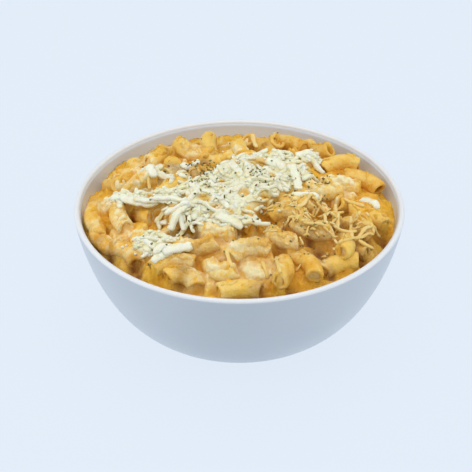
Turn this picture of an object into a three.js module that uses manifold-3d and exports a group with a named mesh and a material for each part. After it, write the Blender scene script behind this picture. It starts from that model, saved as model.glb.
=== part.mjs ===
// A round white ceramic bowl filled with macaroni in cheese sauce, with shredded white cheese and
// dried herbs on top. Millimetres, +Z up; the origin is the centre of the foot ring's underside.
import * as THREE from "three";
import { mergeVertices } from "three/addons/utils/BufferGeometryUtils.js";
import Module from "manifold-3d";

const wasm = await Module();
wasm.setup();

// The bowl
const RIM_RADIUS = 85;
const BOWL_HEIGHT = 70;
const LIP_THICKNESS = 3.2;
const LIP_STEPS = 4;
const FLOOR_HEIGHT = 5;
const WALL_POWER = 1.31;
const WALL_FULLNESS = 0.23;
const FOOT_RADIUS = 39;
const FOOT_WIDTH = 5;
const FOOT_HEIGHT = 2.2;
const FOOT_EDGE = 0.8;
const FOOT_RECESS = 1.4;
const OUTER_STEPS = 8;
const INNER_STEPS = 6;
const STEP_SPACING = 2.2;
const TURN_STEPS = 36;

// The heap: a bed that the elbows sink into, its height falling from the middle to the wall
const GAP = 0.35;
const ROOM = 0.6;
const WALL_CLEARANCE = 1.1;
const HEAP_RADIUS = 81;
const BED_CENTRE = 74;
const BED_FALL = 13;
const BED_POWER = 3;
const BED_LEAN = 4;
const LUMP_HEIGHT = 1.2;
const LUMP_FADE = 6;
const WIDE_WAVE = 9;
const NARROW_WAVE = 7;
const NARROW_SHARE = 0.6;
const BED_RINGS = 5;
const CHEESE_RAISE = 3;
const RAISE_SLOPE = 4;

// Macaroni elbows
const TUBE_RADIUS = 4.6;
const BORE_RADIUS = 2.3;
const BORE_DEPTH = 5;
const TUBE_SIDES = 6;
const BORE_SIDES = 5;
const TUBE_STEPS = 3;
const TUBE_SAMPLES = 7;
const TUBE_LIFT = 1.8;
const NEST_DISTANCE = 6.8;
const ELBOW_COUNT = 82;
const ELBOW_TRIALS = 24;
const ELBOW_STRIDE = 37;
const ELBOW_SEED = 101;
const SCATTER_RADIUS = 74;
const SCATTER_JITTER = 8;
const EDGE_RADIUS = 62;
const EDGE_TURN = 0.5;
// Round part of the back, in degrees, the heap stands back from the wall
const OPEN_SECTOR = [75, 178];
const OPEN_RADIUS = 63;
const MOST_RISE = 5.5;
const MOST_TILT = 0.3;
const MOST_ROLL = 1;
const SWEEP_RANGE = [50, 120];
const LENGTH_RANGE = [17, 24];

// Elbows that lie on top: place of the middle, its rise above the bed, then heading, tilt and roll
// of the tube, and the angle it bends through, in degrees
const TOP_ELBOWS = [
  { x: -66, y: 20, rise: 1.5, heading: -60, tilt: -34, roll: 0, sweep: 60 },
  { x: 66, y: 23, rise: 3.5, heading: -26, tilt: 8, roll: 20, sweep: 60 },
  { x: 68, y: -15, rise: 4, heading: -26, tilt: 6, roll: 10, sweep: 55 },
  { x: 62, y: -25, rise: 4, heading: -95, tilt: -10, roll: 0, sweep: 60 },
  { x: 63, y: -38, rise: 1.5, heading: -70, tilt: -5, roll: 180, sweep: 70 },
  { x: 51, y: -42, rise: 4, heading: -85, tilt: -14, roll: 0, sweep: 90 },
  { x: 50, y: -54, rise: 2.5, heading: 28, tilt: 0, roll: 0, sweep: 60 },
  { x: 53, y: -24, rise: 2.5, heading: 5, tilt: 0, roll: -80, sweep: 140 },
  { x: 34, y: -60, rise: 3.5, heading: -62, tilt: -6, roll: 30, sweep: 70 },
  { x: 21, y: -64, rise: 3, heading: -95, tilt: -8, roll: 0, sweep: 50 },
  { x: 0, y: -74, rise: 2.5, heading: 2, tilt: 0, roll: 0, sweep: 50 },
  { x: 4, y: -53, rise: 3, heading: 20, tilt: 6, roll: 40, sweep: 80 },
  { x: -16, y: 54, rise: 2.5, heading: 100, tilt: -10, roll: 30, sweep: 80 },
  { x: 13, y: 56, rise: 2.5, heading: -5, tilt: 0, roll: -75, sweep: 130 },
  { x: -44, y: 46, rise: 1.5, heading: -110, tilt: -12, roll: 0, sweep: 70 },
  { x: 54, y: 39, rise: 3, heading: 15, tilt: 0, roll: 40, sweep: 70 },
  { x: -68, y: -31, rise: 2.5, heading: -60, tilt: 5, roll: 180, sweep: 70 },
  { x: -32, y: -58, rise: 3, heading: 12, tilt: 0, roll: 20, sweep: 60 },
  { x: 25, y: -24, rise: 4, heading: -30, tilt: -8, roll: 50, sweep: 110 },
  { x: -55, y: -45, rise: 2.5, heading: -45, tilt: 0, roll: 10, sweep: 80 },
  { x: -75, y: -12, rise: 4, heading: 98, tilt: 0, roll: 0, sweep: 60 },
  { x: 27, y: 57, rise: 4.5, heading: -20, tilt: 0, roll: 0, sweep: 60 },
  { x: -60, y: -19, rise: 4, heading: -78, tilt: 0, roll: 180, sweep: 50 },
];
const TOP_TUBE_LENGTH = 21;

// Shredded cheese: pads of matted shreds with loose shreds across them
const SHRED_WIDTH = 4.2;
const SHRED_THICKNESS = 2.2;
const SHRED_CROWN = 0.55;
const SHRED_TAPER = 0.6;
const SHRED_STEPS = 2;
const SHRED_RANGE = [14, 22];
const SHRED_CURL = 14;
const SHRED_SPREAD = 0.92;
const SHRED_LAYERS = [-0.6, 0.9];
const SHRED_SEED = 5521;
const PAD_SEGMENTS = 14;
const PAD_RINGS = 3;
const PAD_EDGE = 1.2;
const PAD_RISE = 2.4;
const PAD_SLOPE = 3;
const PAD_DEPTH = 1.5;
const PAD_KEEP_OUT = 0.12;
const CHEESE_HEAPS = [
  {
    name: "cheese_pile",
    pads: [
      { x: 2, y: 2, length: 32, width: 32, turn: 0, lobes: 2, phase: 0, depth: 0.34 },
      { x: -45, y: -8, length: 22, width: 7, turn: -9, lobes: 3, phase: 1, depth: 0.1 },
    ],
    shreds: 24,
  },
  {
    name: "cheese_front_left",
    pads: [{ x: -41, y: -44, length: 15, width: 9, turn: -25, lobes: 3, phase: 1, depth: 0.1 }],
    shreds: 6,
  },
  {
    name: "cheese_back_left",
    pads: [{ x: -46, y: 21, length: 9, width: 6, turn: 60, lobes: 3, phase: 1, depth: 0.1 }],
    shreds: 3,
  },
  {
    name: "cheese_back_right",
    pads: [{ x: 38, y: 38, length: 12, width: 6, turn: 70, lobes: 3, phase: 1, depth: 0.1 }],
    shreds: 3,
  },
];

// Dried herb flakes
const FLAKE_RADIUS = 1.1;
const FLAKE_THICKNESS = 0.7;
const FLAKE_STRETCH = [0.7, 1.3];
const FLAKE_TILT = 0.5;
const FLAKES_ON_CHEESE = 22;
const CHEESE_FLAKE_SPREAD = 0.9;
const FLAKES_ON_MACARONI = 8;
const MACARONI_FLAKE_CENTRE = [15, 0];
const MACARONI_FLAKE_RADIUS = 65;
const FLAKE_SEED = 907;

const MATERIALS = {
  ceramic: new THREE.MeshStandardMaterial({ color: 0xe9e8e6, roughness: 0.22, metalness: 0 }),
  macaroni: new THREE.MeshStandardMaterial({ color: 0xdcab45, roughness: 0.42, metalness: 0 }),
  cheese: new THREE.MeshStandardMaterial({ color: 0xf0ecd6, roughness: 0.6, metalness: 0 }),
};

const ALMOST_NOTHING = 0.001;
const UP = new THREE.Vector3(0, 0, 1);
const GOLDEN_ANGLE = Math.PI * (3 - Math.sqrt(5));

function seeded(seed) {
  let state = seed;
  return () => {
    state = (state * 48271) % 2147483647;
    return state / 2147483647;
  };
}

function between(draw, low, high) {
  return low + (high - low) * draw();
}

// ---- solids ----

function weld(geometry) {
  const bare = geometry.clone();
  bare.deleteAttribute("normal");
  bare.deleteAttribute("uv");
  const merged = mergeVertices(bare);
  const corners = merged.index.array;
  const kept = [];
  for (let i = 0; i < corners.length; i += 3) {
    const [a, b, c] = corners.slice(i, i + 3);
    if (a !== b && b !== c && c !== a) kept.push(a, b, c);
  }
  merged.setIndex(kept);
  return merged;
}

function toSolid(geometry) {
  const merged = weld(geometry);
  return new wasm.Manifold(
    new wasm.Mesh({
      numProp: 3,
      vertProperties: new Float32Array(merged.attributes.position.array),
      triVerts: new Uint32Array(merged.index.array),
    }),
  );
}

function toGeometry(body) {
  const mesh = body.getMesh();
  const geometry = new THREE.BufferGeometry();
  geometry.setAttribute("position", new THREE.BufferAttribute(mesh.vertProperties, 3));
  geometry.setIndex(new THREE.BufferAttribute(mesh.triVerts, 1));
  geometry.computeVertexNormals();
  return geometry;
}

function fuse(bodies) {
  return bodies.reduce((whole, body) => whole.add(body));
}

// The one outer body: loose scraps go, and hollows that fusing sealed are filled
function mainBody(body) {
  const shells = body.decompose();
  return shells.reduce((best, shell) => (shell.volume() > best.volume() ? shell : best));
}

function turned(profile, segments) {
  const points = profile.map(([radius, height]) => new THREE.Vector2(radius, height));
  return new THREE.LatheGeometry(points, segments).rotateX(Math.PI / 2);
}

function reshape(geometry, place) {
  const position = geometry.attributes.position;
  for (let i = 0; i < position.count; i += 1) {
    const [x, y, z] = place(position.getX(i), position.getY(i), position.getZ(i));
    position.setXYZ(i, x, y, z);
  }
  return geometry;
}

// The point at a distance along and across a line that runs through the centre at a heading
function pointFrom(centre, heading, along, across) {
  return [
    centre.x + along * Math.cos(heading) - across * Math.sin(heading),
    centre.y + along * Math.sin(heading) + across * Math.cos(heading),
  ];
}

// ---- bowl ----

function wallShape(share) {
  return (1 - (1 - share) ** WALL_POWER) ** WALL_FULLNESS;
}

function outerRadius(height) {
  return RIM_RADIUS * wallShape(height / BOWL_HEIGHT);
}

function innerRadius(height) {
  const share = (Math.min(height, BOWL_HEIGHT) - FLOOR_HEIGHT) / (BOWL_HEIGHT - FLOOR_HEIGHT);
  return (RIM_RADIUS - LIP_THICKNESS) * wallShape(share);
}

// Points up the inner wall from the floor to the edge of the food
function innerWall() {
  const points = [];
  for (let i = 1; i <= INNER_STEPS; i += 1) {
    const share = (i / INNER_STEPS) ** STEP_SPACING;
    const height = FLOOR_HEIGHT + (bedEdge() - FLOOR_HEIGHT) * share;
    points.push([innerRadius(height), height]);
  }
  return points;
}

function bowlProfile() {
  const footInner = FOOT_RADIUS - FOOT_WIDTH;
  const points = [
    [0, FOOT_RECESS],
    [footInner - FOOT_EDGE, FOOT_RECESS],
    [footInner, 0],
    [FOOT_RADIUS - FOOT_EDGE, 0],
    [FOOT_RADIUS, FOOT_EDGE],
    [FOOT_RADIUS, FOOT_HEIGHT],
  ];
  const lipRadius = LIP_THICKNESS / 2;
  const lipHeight = BOWL_HEIGHT - lipRadius;
  for (let i = 0; i <= OUTER_STEPS; i += 1) {
    const share = (i / OUTER_STEPS) ** STEP_SPACING;
    const height = FOOT_HEIGHT + (lipHeight - FOOT_HEIGHT) * share;
    points.push([outerRadius(height), height]);
  }
  const middle = RIM_RADIUS - lipRadius;
  for (let i = 1; i <= LIP_STEPS; i += 1) {
    const angle = (Math.PI * i) / LIP_STEPS;
    points.push([middle + lipRadius * Math.cos(angle), lipHeight + lipRadius * Math.sin(angle)]);
  }
  return [...points, ...innerWall().reverse(), [0, FLOOR_HEIGHT]];
}

// ---- bed of the heap ----

function bedEdge() {
  return BED_CENTRE - BED_FALL;
}

function bedHeight(x, y) {
  const share = Math.min(1, Math.hypot(x, y) / HEAP_RADIUS);
  const dome = BED_CENTRE - BED_FALL * share ** BED_POWER;
  const wide = Math.sin(x / WIDE_WAVE) * Math.cos(y / WIDE_WAVE);
  const narrow = Math.sin((x - y) / NARROW_WAVE) * Math.cos((x + 2 * y) / (2 * NARROW_WAVE));
  const lumps = LUMP_HEIGHT * (wide + NARROW_SHARE * narrow);
  return dome + (lumps - (BED_LEAN * y) / HEAP_RADIUS) * (1 - share ** LUMP_FADE);
}

// 1 in the middle of a pad of cheese, 0 at its outline and beyond
function padShare(pad, x, y) {
  const turn = THREE.MathUtils.degToRad(pad.turn);
  const along = (x - pad.x) * Math.cos(turn) + (y - pad.y) * Math.sin(turn);
  const across = (y - pad.y) * Math.cos(turn) - (x - pad.x) * Math.sin(turn);
  const angle = Math.atan2(across / pad.width, along / pad.length);
  const reach = padReach(pad, angle);
  return Math.max(0, 1 - Math.hypot(across / pad.width, along / pad.length) / reach);
}

function padReach(pad, angle) {
  return 1 + pad.depth * Math.sin(pad.lobes * angle + pad.phase);
}

function coreHeight(x, y) {
  const pads = CHEESE_HEAPS.flatMap((heap) => heap.pads);
  const share = Math.max(...pads.map((pad) => padShare(pad, x, y)));
  return bedHeight(x, y) + CHEESE_RAISE * Math.min(1, RAISE_SLOPE * share);
}

function bedSolid() {
  const underside = innerWall().map(([radius, height]) => [radius - GAP, height + GAP]);
  const edge = underside.at(-1);
  const top = [];
  for (let i = BED_RINGS - 1; i > 0; i -= 1) top.push([(edge[0] * i) / BED_RINGS, BED_CENTRE]);
  const profile = [[0, FLOOR_HEIGHT + GAP], ...underside, ...top, [0, BED_CENTRE]];
  const raise = (x, y, z) => [x, y, z < BED_CENTRE ? z : coreHeight(x, y)];
  return toSolid(reshape(turned(profile, TURN_STEPS), raise));
}

// ---- macaroni ----

class ElbowCurve extends THREE.Curve {
  constructor(bend, sweep) {
    super();
    this.bend = bend;
    this.sweep = sweep;
    this.middle = Math.sin(sweep / 2) / (sweep / 2);
  }

  getPoint(share, target = new THREE.Vector3()) {
    const angle = (share - 0.5) * this.sweep;
    return target.set(this.bend * Math.sin(angle), this.bend * (Math.cos(angle) - this.middle), 0);
  }
}

function ring(radius, sides) {
  const points = [];
  for (let i = 0; i < sides; i += 1) {
    const angle = (2 * Math.PI * i) / sides;
    points.push(new THREE.Vector2(radius * Math.cos(angle), radius * Math.sin(angle)));
  }
  return points;
}

function poseMatrix(pose) {
  const turn = new THREE.Matrix4().makeRotationZ(pose.heading);
  turn.multiply(new THREE.Matrix4().makeRotationY(pose.tilt));
  turn.multiply(new THREE.Matrix4().makeRotationX(pose.roll));
  return turn.setPosition(pose.x, pose.y, pose.z);
}

function samplePoints(pose) {
  const curve = new ElbowCurve(pose.bend, pose.sweep);
  const matrix = poseMatrix(pose);
  const points = [];
  for (let i = 0; i < TUBE_SAMPLES; i += 1) {
    points.push(curve.getPoint(i / (TUBE_SAMPLES - 1)).applyMatrix4(matrix));
  }
  return points;
}

// Lowers an elbow until it rests on the bed or on elbows already down
function settle(pose, placed) {
  const points = samplePoints({ ...pose, z: 0 });
  let height = -Infinity;
  for (const point of points) {
    let floor = bedHeight(point.x, point.y) + TUBE_LIFT;
    for (const other of placed) {
      const apart = Math.hypot(point.x - other.x, point.y - other.y);
      if (apart < NEST_DISTANCE) {
        floor = Math.max(floor, other.z + Math.sqrt(NEST_DISTANCE ** 2 - apart ** 2));
      }
    }
    height = Math.max(height, floor - point.z);
  }
  points.forEach((point) => point.setZ(point.z + height));
  return { ...pose, z: height, points, rise: height - bedHeight(pose.x, pose.y) };
}

// How far an elbow reaches into the wall of the bowl
function wallExcess(pose) {
  const room = TUBE_RADIUS + WALL_CLEARANCE;
  const reaches = pose.points.map((point) => Math.hypot(point.x, point.y) - innerRadius(point.z));
  return Math.max(...reaches) + room;
}

// Whether an elbow reaches into the open space between the heap and the wall
function isInTheOpen(pose) {
  return pose.points.some((point) => {
    const azimuth = THREE.MathUtils.radToDeg(Math.atan2(point.y, point.x));
    const isInSector = azimuth > OPEN_SECTOR[0] && azimuth < OPEN_SECTOR[1];
    return isInSector && Math.hypot(point.x, point.y) > OPEN_RADIUS;
  });
}

function fits(pose) {
  return wallExcess(pose) <= 0 && !isInTheOpen(pose);
}

function randomPose(draw, x, y) {
  const alongWall = Math.atan2(y, x) + Math.PI / 2;
  const atWall = Math.hypot(x, y) > EDGE_RADIUS;
  const sweep = THREE.MathUtils.degToRad(between(draw, ...SWEEP_RANGE));
  return {
    x: x + between(draw, -SCATTER_JITTER, SCATTER_JITTER),
    y: y + between(draw, -SCATTER_JITTER, SCATTER_JITTER),
    heading: alongWall + between(draw, -1, 1) * (atWall ? EDGE_TURN : Math.PI),
    tilt: between(draw, -MOST_TILT, MOST_TILT),
    roll: between(draw, -MOST_ROLL, MOST_ROLL),
    sweep,
    bend: between(draw, ...LENGTH_RANGE) / sweep,
  };
}

function topPose(top) {
  const sweep = THREE.MathUtils.degToRad(top.sweep);
  const pose = {
    x: top.x,
    y: top.y,
    z: bedHeight(top.x, top.y) + top.rise,
    heading: THREE.MathUtils.degToRad(top.heading),
    tilt: THREE.MathUtils.degToRad(top.tilt),
    roll: THREE.MathUtils.degToRad(top.roll),
    sweep,
    bend: TOP_TUBE_LENGTH / sweep,
  };
  return pulledIn(pose);
}

// Moves an elbow towards the middle until it is clear of the wall
function pulledIn(pose) {
  const elbow = { ...pose, points: samplePoints(pose) };
  const excess = wallExcess(elbow);
  if (excess < ALMOST_NOTHING) return elbow;
  const keep = 1 - excess / Math.hypot(pose.x, pose.y);
  return pulledIn({ ...pose, x: pose.x * keep, y: pose.y * keep });
}

// The elbows on top have their places, and the others are packed round them, each in the lowest
// resting place of several tried
function allElbows() {
  const draw = seeded(ELBOW_SEED);
  const elbows = TOP_ELBOWS.map(topPose);
  const placed = elbows.flatMap((pose) => pose.points);
  for (let count = 0; count < ELBOW_COUNT; count += 1) {
    const place = (count * ELBOW_STRIDE) % ELBOW_COUNT;
    const reach = SCATTER_RADIUS * Math.sqrt((place + 0.5) / ELBOW_COUNT);
    const x = reach * Math.cos(place * GOLDEN_ANGLE);
    const y = reach * Math.sin(place * GOLDEN_ANGLE);
    let best = null;
    for (let trial = 0; trial < ELBOW_TRIALS; trial += 1) {
      const pose = settle(randomPose(draw, x, y), placed);
      if (fits(pose) && (best === null || pose.rise < best.rise)) best = pose;
    }
    if (best !== null && best.rise < MOST_RISE) {
      elbows.push(best);
      placed.push(...best.points);
    }
  }
  return elbows;
}

// The open mouth of a tube, as a plug to be cut from the end where the curve leaves it
function boreSolid(curve, share, outward) {
  const plug = new THREE.ExtrudeGeometry(new THREE.Shape(ring(BORE_RADIUS, BORE_SIDES)), {
    depth: 2 * BORE_DEPTH,
    steps: 1,
    bevelEnabled: false,
  });
  const direction = curve.getTangent(share).multiplyScalar(outward);
  plug.translate(0, 0, -BORE_DEPTH);
  plug.applyQuaternion(new THREE.Quaternion().setFromUnitVectors(UP, direction));
  return toSolid(plug.translate(...curve.getPoint(share)));
}

function elbowSolid(pose) {
  const curve = new ElbowCurve(pose.bend, pose.sweep);
  const geometry = new THREE.ExtrudeGeometry(new THREE.Shape(ring(TUBE_RADIUS, TUBE_SIDES)), {
    steps: TUBE_STEPS,
    bevelEnabled: false,
    extrudePath: curve,
  });
  const tube = toSolid(geometry).subtract(boreSolid(curve, 0, -1)).subtract(boreSolid(curve, 1, 1));
  return tube.transform(poseMatrix(pose).toArray());
}

function isUnderCheese(pose) {
  const pads = CHEESE_HEAPS.flatMap((heap) => heap.pads);
  return pads.some((pad) => padShare(pad, pose.x, pose.y) > PAD_KEEP_OUT);
}

// ---- shredded cheese ----

function padTop(x, y, share) {
  return coreHeight(x, y) + PAD_EDGE + PAD_RISE * Math.sqrt(Math.min(1, PAD_SLOPE * share));
}

function padSolid(pad, grow) {
  const profile = [[0, 0]];
  for (let i = 1; i <= PAD_RINGS; i += 1) profile.push([i / PAD_RINGS, 0]);
  for (let i = PAD_RINGS; i >= 1; i -= 1) profile.push([i / PAD_RINGS, 1]);
  profile.push([0, 1]);
  const turn = THREE.MathUtils.degToRad(pad.turn);
  const place = (u, v, w) => {
    const reach = padReach(pad, Math.atan2(v, u));
    const along = u * pad.length * reach;
    const across = v * pad.width * reach;
    const [x, y] = pointFrom(pad, turn, along, across);
    const share = Math.max(0, 1 - Math.hypot(u, v));
    const height = w > 0.5 ? padTop(x, y, share) + grow : coreHeight(x, y) - PAD_DEPTH - grow;
    return [...pointFrom(pad, turn, along + u * grow, across + v * grow), height];
  };
  return toSolid(reshape(turned(profile, PAD_SEGMENTS), place));
}

// A shred is flat below and narrower on top; it follows the heap and tapers at its ends
function shredSolid(shred, grow) {
  const half = SHRED_WIDTH / 2;
  const rise = SHRED_THICKNESS / 2;
  const section = new THREE.Shape([
    new THREE.Vector2(-half, -rise),
    new THREE.Vector2(half, -rise),
    new THREE.Vector2(half * SHRED_CROWN, rise),
    new THREE.Vector2(-half * SHRED_CROWN, rise),
  ]);
  const bar = new THREE.ExtrudeGeometry(section, { depth: 1, steps: SHRED_STEPS, bevelEnabled: false });
  const place = (across, up, share) => {
    const isEnd = share === 0 || share === 1;
    const taper = isEnd ? SHRED_TAPER : 1;
    const along = (share - 0.5) * shred.length;
    const aside = across * taper + shred.curl * (share - 0.5) ** 2;
    const [x, y] = pointFrom(shred, shred.heading, along, aside);
    const beyond = isEnd ? Math.sign(along) * grow : 0;
    const spread = Math.sign(across) * grow;
    const height = bedHeight(x, y) + shred.lift + up * taper + Math.sign(up) * grow;
    return [...pointFrom(shred, shred.heading, along + beyond, aside + spread), height];
  };
  return toSolid(reshape(bar, place));
}

function padShreds(pad, count, draw) {
  const shreds = [];
  const turn = THREE.MathUtils.degToRad(pad.turn);
  for (let i = 0; i < count; i += 1) {
    const reach = SHRED_SPREAD * Math.sqrt((i + 0.5) / count);
    const angle = i * GOLDEN_ANGLE;
    const along = pad.length * reach * Math.cos(angle);
    const across = pad.width * reach * Math.sin(angle);
    const [x, y] = pointFrom(pad, turn, along, across);
    shreds.push({
      x,
      y,
      heading: between(draw, 0, Math.PI),
      length: between(draw, ...SHRED_RANGE),
      curl: between(draw, -SHRED_CURL, SHRED_CURL),
      lift: CHEESE_RAISE + PAD_EDGE + PAD_RISE + between(draw, ...SHRED_LAYERS),
    });
  }
  return shreds;
}

function heapShreds(heap, draw) {
  const area = heap.pads.reduce((sum, pad) => sum + pad.length * pad.width, 0);
  return heap.pads.flatMap((pad) =>
    padShreds(pad, Math.round((heap.shreds * pad.length * pad.width) / area), draw),
  );
}

function cheeseSolid(heap, shreds, grow) {
  const pads = heap.pads.map((pad) => padSolid(pad, grow));
  return fuse([...pads, ...shreds.map((shred) => shredSolid(shred, grow))]);
}

// ---- herbs ----

function topOf(body, x, y) {
  const mesh = new THREE.Mesh(toGeometry(body));
  const ray = new THREE.Raycaster(new THREE.Vector3(x, y, 2 * BOWL_HEIGHT), UP.clone().negate());
  const hits = ray.intersectObject(mesh);
  return hits.length > 0 ? hits[0].point.z : null;
}

function flakeSolid(flake, grow) {
  const { x, y, z, stretch, tilt, turn } = flake;
  const solid = new THREE.OctahedronGeometry(1);
  solid.scale(FLAKE_RADIUS * stretch + grow, FLAKE_RADIUS + grow, FLAKE_THICKNESS + grow);
  return toSolid(solid.rotateX(tilt).rotateZ(turn).translate(x, y, z));
}

function flakesOn(body, places, draw) {
  const flakes = [];
  for (const [x, y] of places) {
    const z = topOf(body, x, y);
    const stretch = between(draw, ...FLAKE_STRETCH);
    const tilt = between(draw, -FLAKE_TILT, FLAKE_TILT);
    const turn = between(draw, 0, Math.PI);
    if (z !== null) flakes.push({ x, y, z, stretch, tilt, turn });
  }
  return flakes;
}

function scatteredPlaces(count, centre, radius, draw) {
  const places = [];
  for (let i = 0; i < count; i += 1) {
    const reach = radius * Math.sqrt((i + draw()) / count);
    const angle = i * GOLDEN_ANGLE + draw();
    places.push([centre[0] + reach * Math.cos(angle), centre[1] + reach * Math.sin(angle)]);
  }
  return places;
}

// ---- the object ----

function named(name, geometry, material) {
  const mesh = new THREE.Mesh(geometry, material);
  mesh.name = name;
  return mesh;
}

function flakesOverPad(heap, body, draw) {
  const pad = heap.pads[0];
  const all = CHEESE_HEAPS.reduce((sum, other) => sum + other.shreds, 0);
  const count = Math.round((FLAKES_ON_CHEESE * heap.shreds) / all);
  const radius = CHEESE_FLAKE_SPREAD * pad.width;
  return flakesOn(body, scatteredPlaces(count, [pad.x, pad.y], radius, draw), draw);
}

function withFlakes(body, flakes, grow) {
  return fuse([body, ...flakes.map((flake) => flakeSolid(flake, grow))]);
}

// Each heap of cheese as its solid and as the slightly larger room it takes from all the rest
function cheeseHeaps(raisedBed, flakeDraw) {
  const shredDraw = seeded(SHRED_SEED);
  const heaps = [];
  for (const heap of CHEESE_HEAPS) {
    const shreds = heapShreds(heap, shredDraw);
    const bare = cheeseSolid(heap, shreds, 0);
    const flakes = flakesOverPad(heap, bare, flakeDraw);
    const taken = fuse([raisedBed, ...heaps.map((other) => other.room)]);
    const solid = mainBody(withFlakes(bare, flakes, 0).subtract(taken));
    const room = withFlakes(cheeseSolid(heap, shreds, ROOM), flakes, ROOM);
    heaps.push({ name: heap.name, solid, room });
  }
  return heaps;
}

function macaroniSolid(bed, room, flakeDraw) {
  const pieces = fuse(allElbows().filter((pose) => !isUnderCheese(pose)).map(elbowSolid));
  const places = scatteredPlaces(
    FLAKES_ON_MACARONI,
    MACARONI_FLAKE_CENTRE,
    MACARONI_FLAKE_RADIUS,
    flakeDraw,
  );
  const flakes = flakesOn(pieces, places, flakeDraw);
  return mainBody(bed.add(withFlakes(pieces, flakes, 0).subtract(room)));
}

function build() {
  const flakeDraw = seeded(FLAKE_SEED);
  const bowl = toSolid(turned(bowlProfile(), TURN_STEPS));
  const bed = bedSolid();
  const heaps = cheeseHeaps(bed.translate([0, 0, GAP]), flakeDraw);
  const macaroni = macaroniSolid(bed, fuse(heaps.map((heap) => heap.room)), flakeDraw);
  const object = new THREE.Group();
  object.name = "mac_and_cheese";
  object.add(named("bowl", toGeometry(bowl), MATERIALS.ceramic));
  object.add(named("macaroni", toGeometry(macaroni), MATERIALS.macaroni));
  for (const heap of heaps) {
    object.add(named(heap.name, toGeometry(heap.solid), MATERIALS.cheese));
  }
  return object;
}

export default build();
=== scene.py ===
"""A white bowl of macaroni in cheese sauce under shredded cheese and dried herbs.

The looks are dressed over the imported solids. Lengths are in millimetres up to the finished mesh,
which is in metres, and every draw of chance is seeded.
"""

import math
from itertools import combinations

import bpy
import numpy as np
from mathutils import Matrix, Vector
from mathutils.bvhtree import BVHTree


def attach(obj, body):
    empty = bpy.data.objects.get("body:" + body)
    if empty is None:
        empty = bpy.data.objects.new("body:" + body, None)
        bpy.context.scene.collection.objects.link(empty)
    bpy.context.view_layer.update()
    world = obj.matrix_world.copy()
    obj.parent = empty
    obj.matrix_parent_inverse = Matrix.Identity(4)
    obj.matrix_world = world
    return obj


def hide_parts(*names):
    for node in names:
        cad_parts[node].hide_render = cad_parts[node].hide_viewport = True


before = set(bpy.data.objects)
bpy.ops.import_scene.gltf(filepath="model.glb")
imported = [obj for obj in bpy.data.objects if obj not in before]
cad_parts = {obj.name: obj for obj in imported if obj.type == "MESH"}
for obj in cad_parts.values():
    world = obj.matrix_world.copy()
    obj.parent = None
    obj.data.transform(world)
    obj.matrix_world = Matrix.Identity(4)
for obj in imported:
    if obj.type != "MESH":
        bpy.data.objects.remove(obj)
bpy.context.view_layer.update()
MM = 0.001

# ---- the camera, and the size of the photograph in pixels ----

EYE = (-1.7, -602.8, 466.7)
EYE_TILT = math.radians(55.23)
LENS = 106.78
SENSOR = 36.0
PICTURE = 472

# ---- the bowl and the heap, as in the part's source ----

RIM_RADIUS = 85.0
BOWL_HEIGHT = 70.0
LIP_THICKNESS = 3.2
FLOOR_HEIGHT = 5.0
WALL_POWER = 1.31
WALL_FULLNESS = 0.23
FOOT_RADIUS = 39.0
FOOT_WIDTH = 5.0
FOOT_HEIGHT = 2.2
FOOT_EDGE = 0.8
FOOT_RECESS = 1.4

WALL_CLEARANCE = 1.1
HEAP_RADIUS = 81.0
BED_CENTRE = 74.0
BED_FALL = 13.0
BED_POWER = 3
BED_LEAN = 4.0
LUMP_HEIGHT = 1.2
LUMP_FADE = 6
WIDE_WAVE = 9.0
NARROW_WAVE = 7.0
NARROW_SHARE = 0.6
CHEESE_RAISE = 3.0
RAISE_SLOPE = 4.0
PAD_EDGE = 1.2
PAD_RISE = 2.4
PAD_SLOPE = 3.0
PAD_KEEP_OUT = 0.12

TUBE_RADIUS = 4.6
TUBE_SAMPLES = 7
TUBE_LIFT = 1.8
NEST_DISTANCE = 6.8
ELBOW_COUNT = 82
ELBOW_TRIALS = 24
ELBOW_STRIDE = 37
ELBOW_SEED = 101
SCATTER_RADIUS = 74.0
SCATTER_JITTER = 8.0
EDGE_RADIUS = 62.0
EDGE_TURN = 0.5
OPEN_SECTOR = (75.0, 178.0)
OPEN_RADIUS = 63.0
MOST_RISE = 5.5
MOST_TILT = 0.3
MOST_ROLL = 1.0
SWEEP_RANGE = (50.0, 120.0)
LENGTH_RANGE = (17.0, 24.0)
TOP_TUBE_LENGTH = 21.0
GOLDEN_ANGLE = math.pi * (3 - math.sqrt(5))

# Elbows that lie on top: place, rise above the bed, heading, tilt, roll and bend in degrees
TOP_ELBOWS = [
    (-66, 20, 1.5, -60, -34, 0, 60), (66, 23, 3.5, -26, 8, 20, 60), (68, -15, 4, -26, 6, 10, 55),
    (62, -25, 4, -95, -10, 0, 60), (63, -38, 1.5, -70, -5, 180, 70), (51, -42, 4, -85, -14, 0, 90),
    (50, -54, 2.5, 28, 0, 0, 60), (53, -24, 2.5, 5, 0, -80, 140), (34, -60, 3.5, -62, -6, 30, 70),
    (21, -64, 3, -95, -8, 0, 50), (0, -74, 2.5, 2, 0, 0, 50), (4, -53, 3, 20, 6, 40, 80),
    (-16, 54, 2.5, 100, -10, 30, 80), (13, 56, 2.5, -5, 0, -75, 130), (-44, 46, 1.5, -110, -12, 0, 70),
    (54, 39, 3, 15, 0, 40, 70), (-68, -31, 2.5, -60, 5, 180, 70), (-32, -58, 3, 12, 0, 20, 60),
    (25, -24, 4, -30, -8, 50, 110), (-55, -45, 2.5, -45, 0, 10, 80), (-75, -12, 4, 98, 0, 0, 60),
    (27, 57, 4.5, -20, 0, 0, 60), (-60, -19, 4, -78, 0, 180, 50),
]

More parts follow.
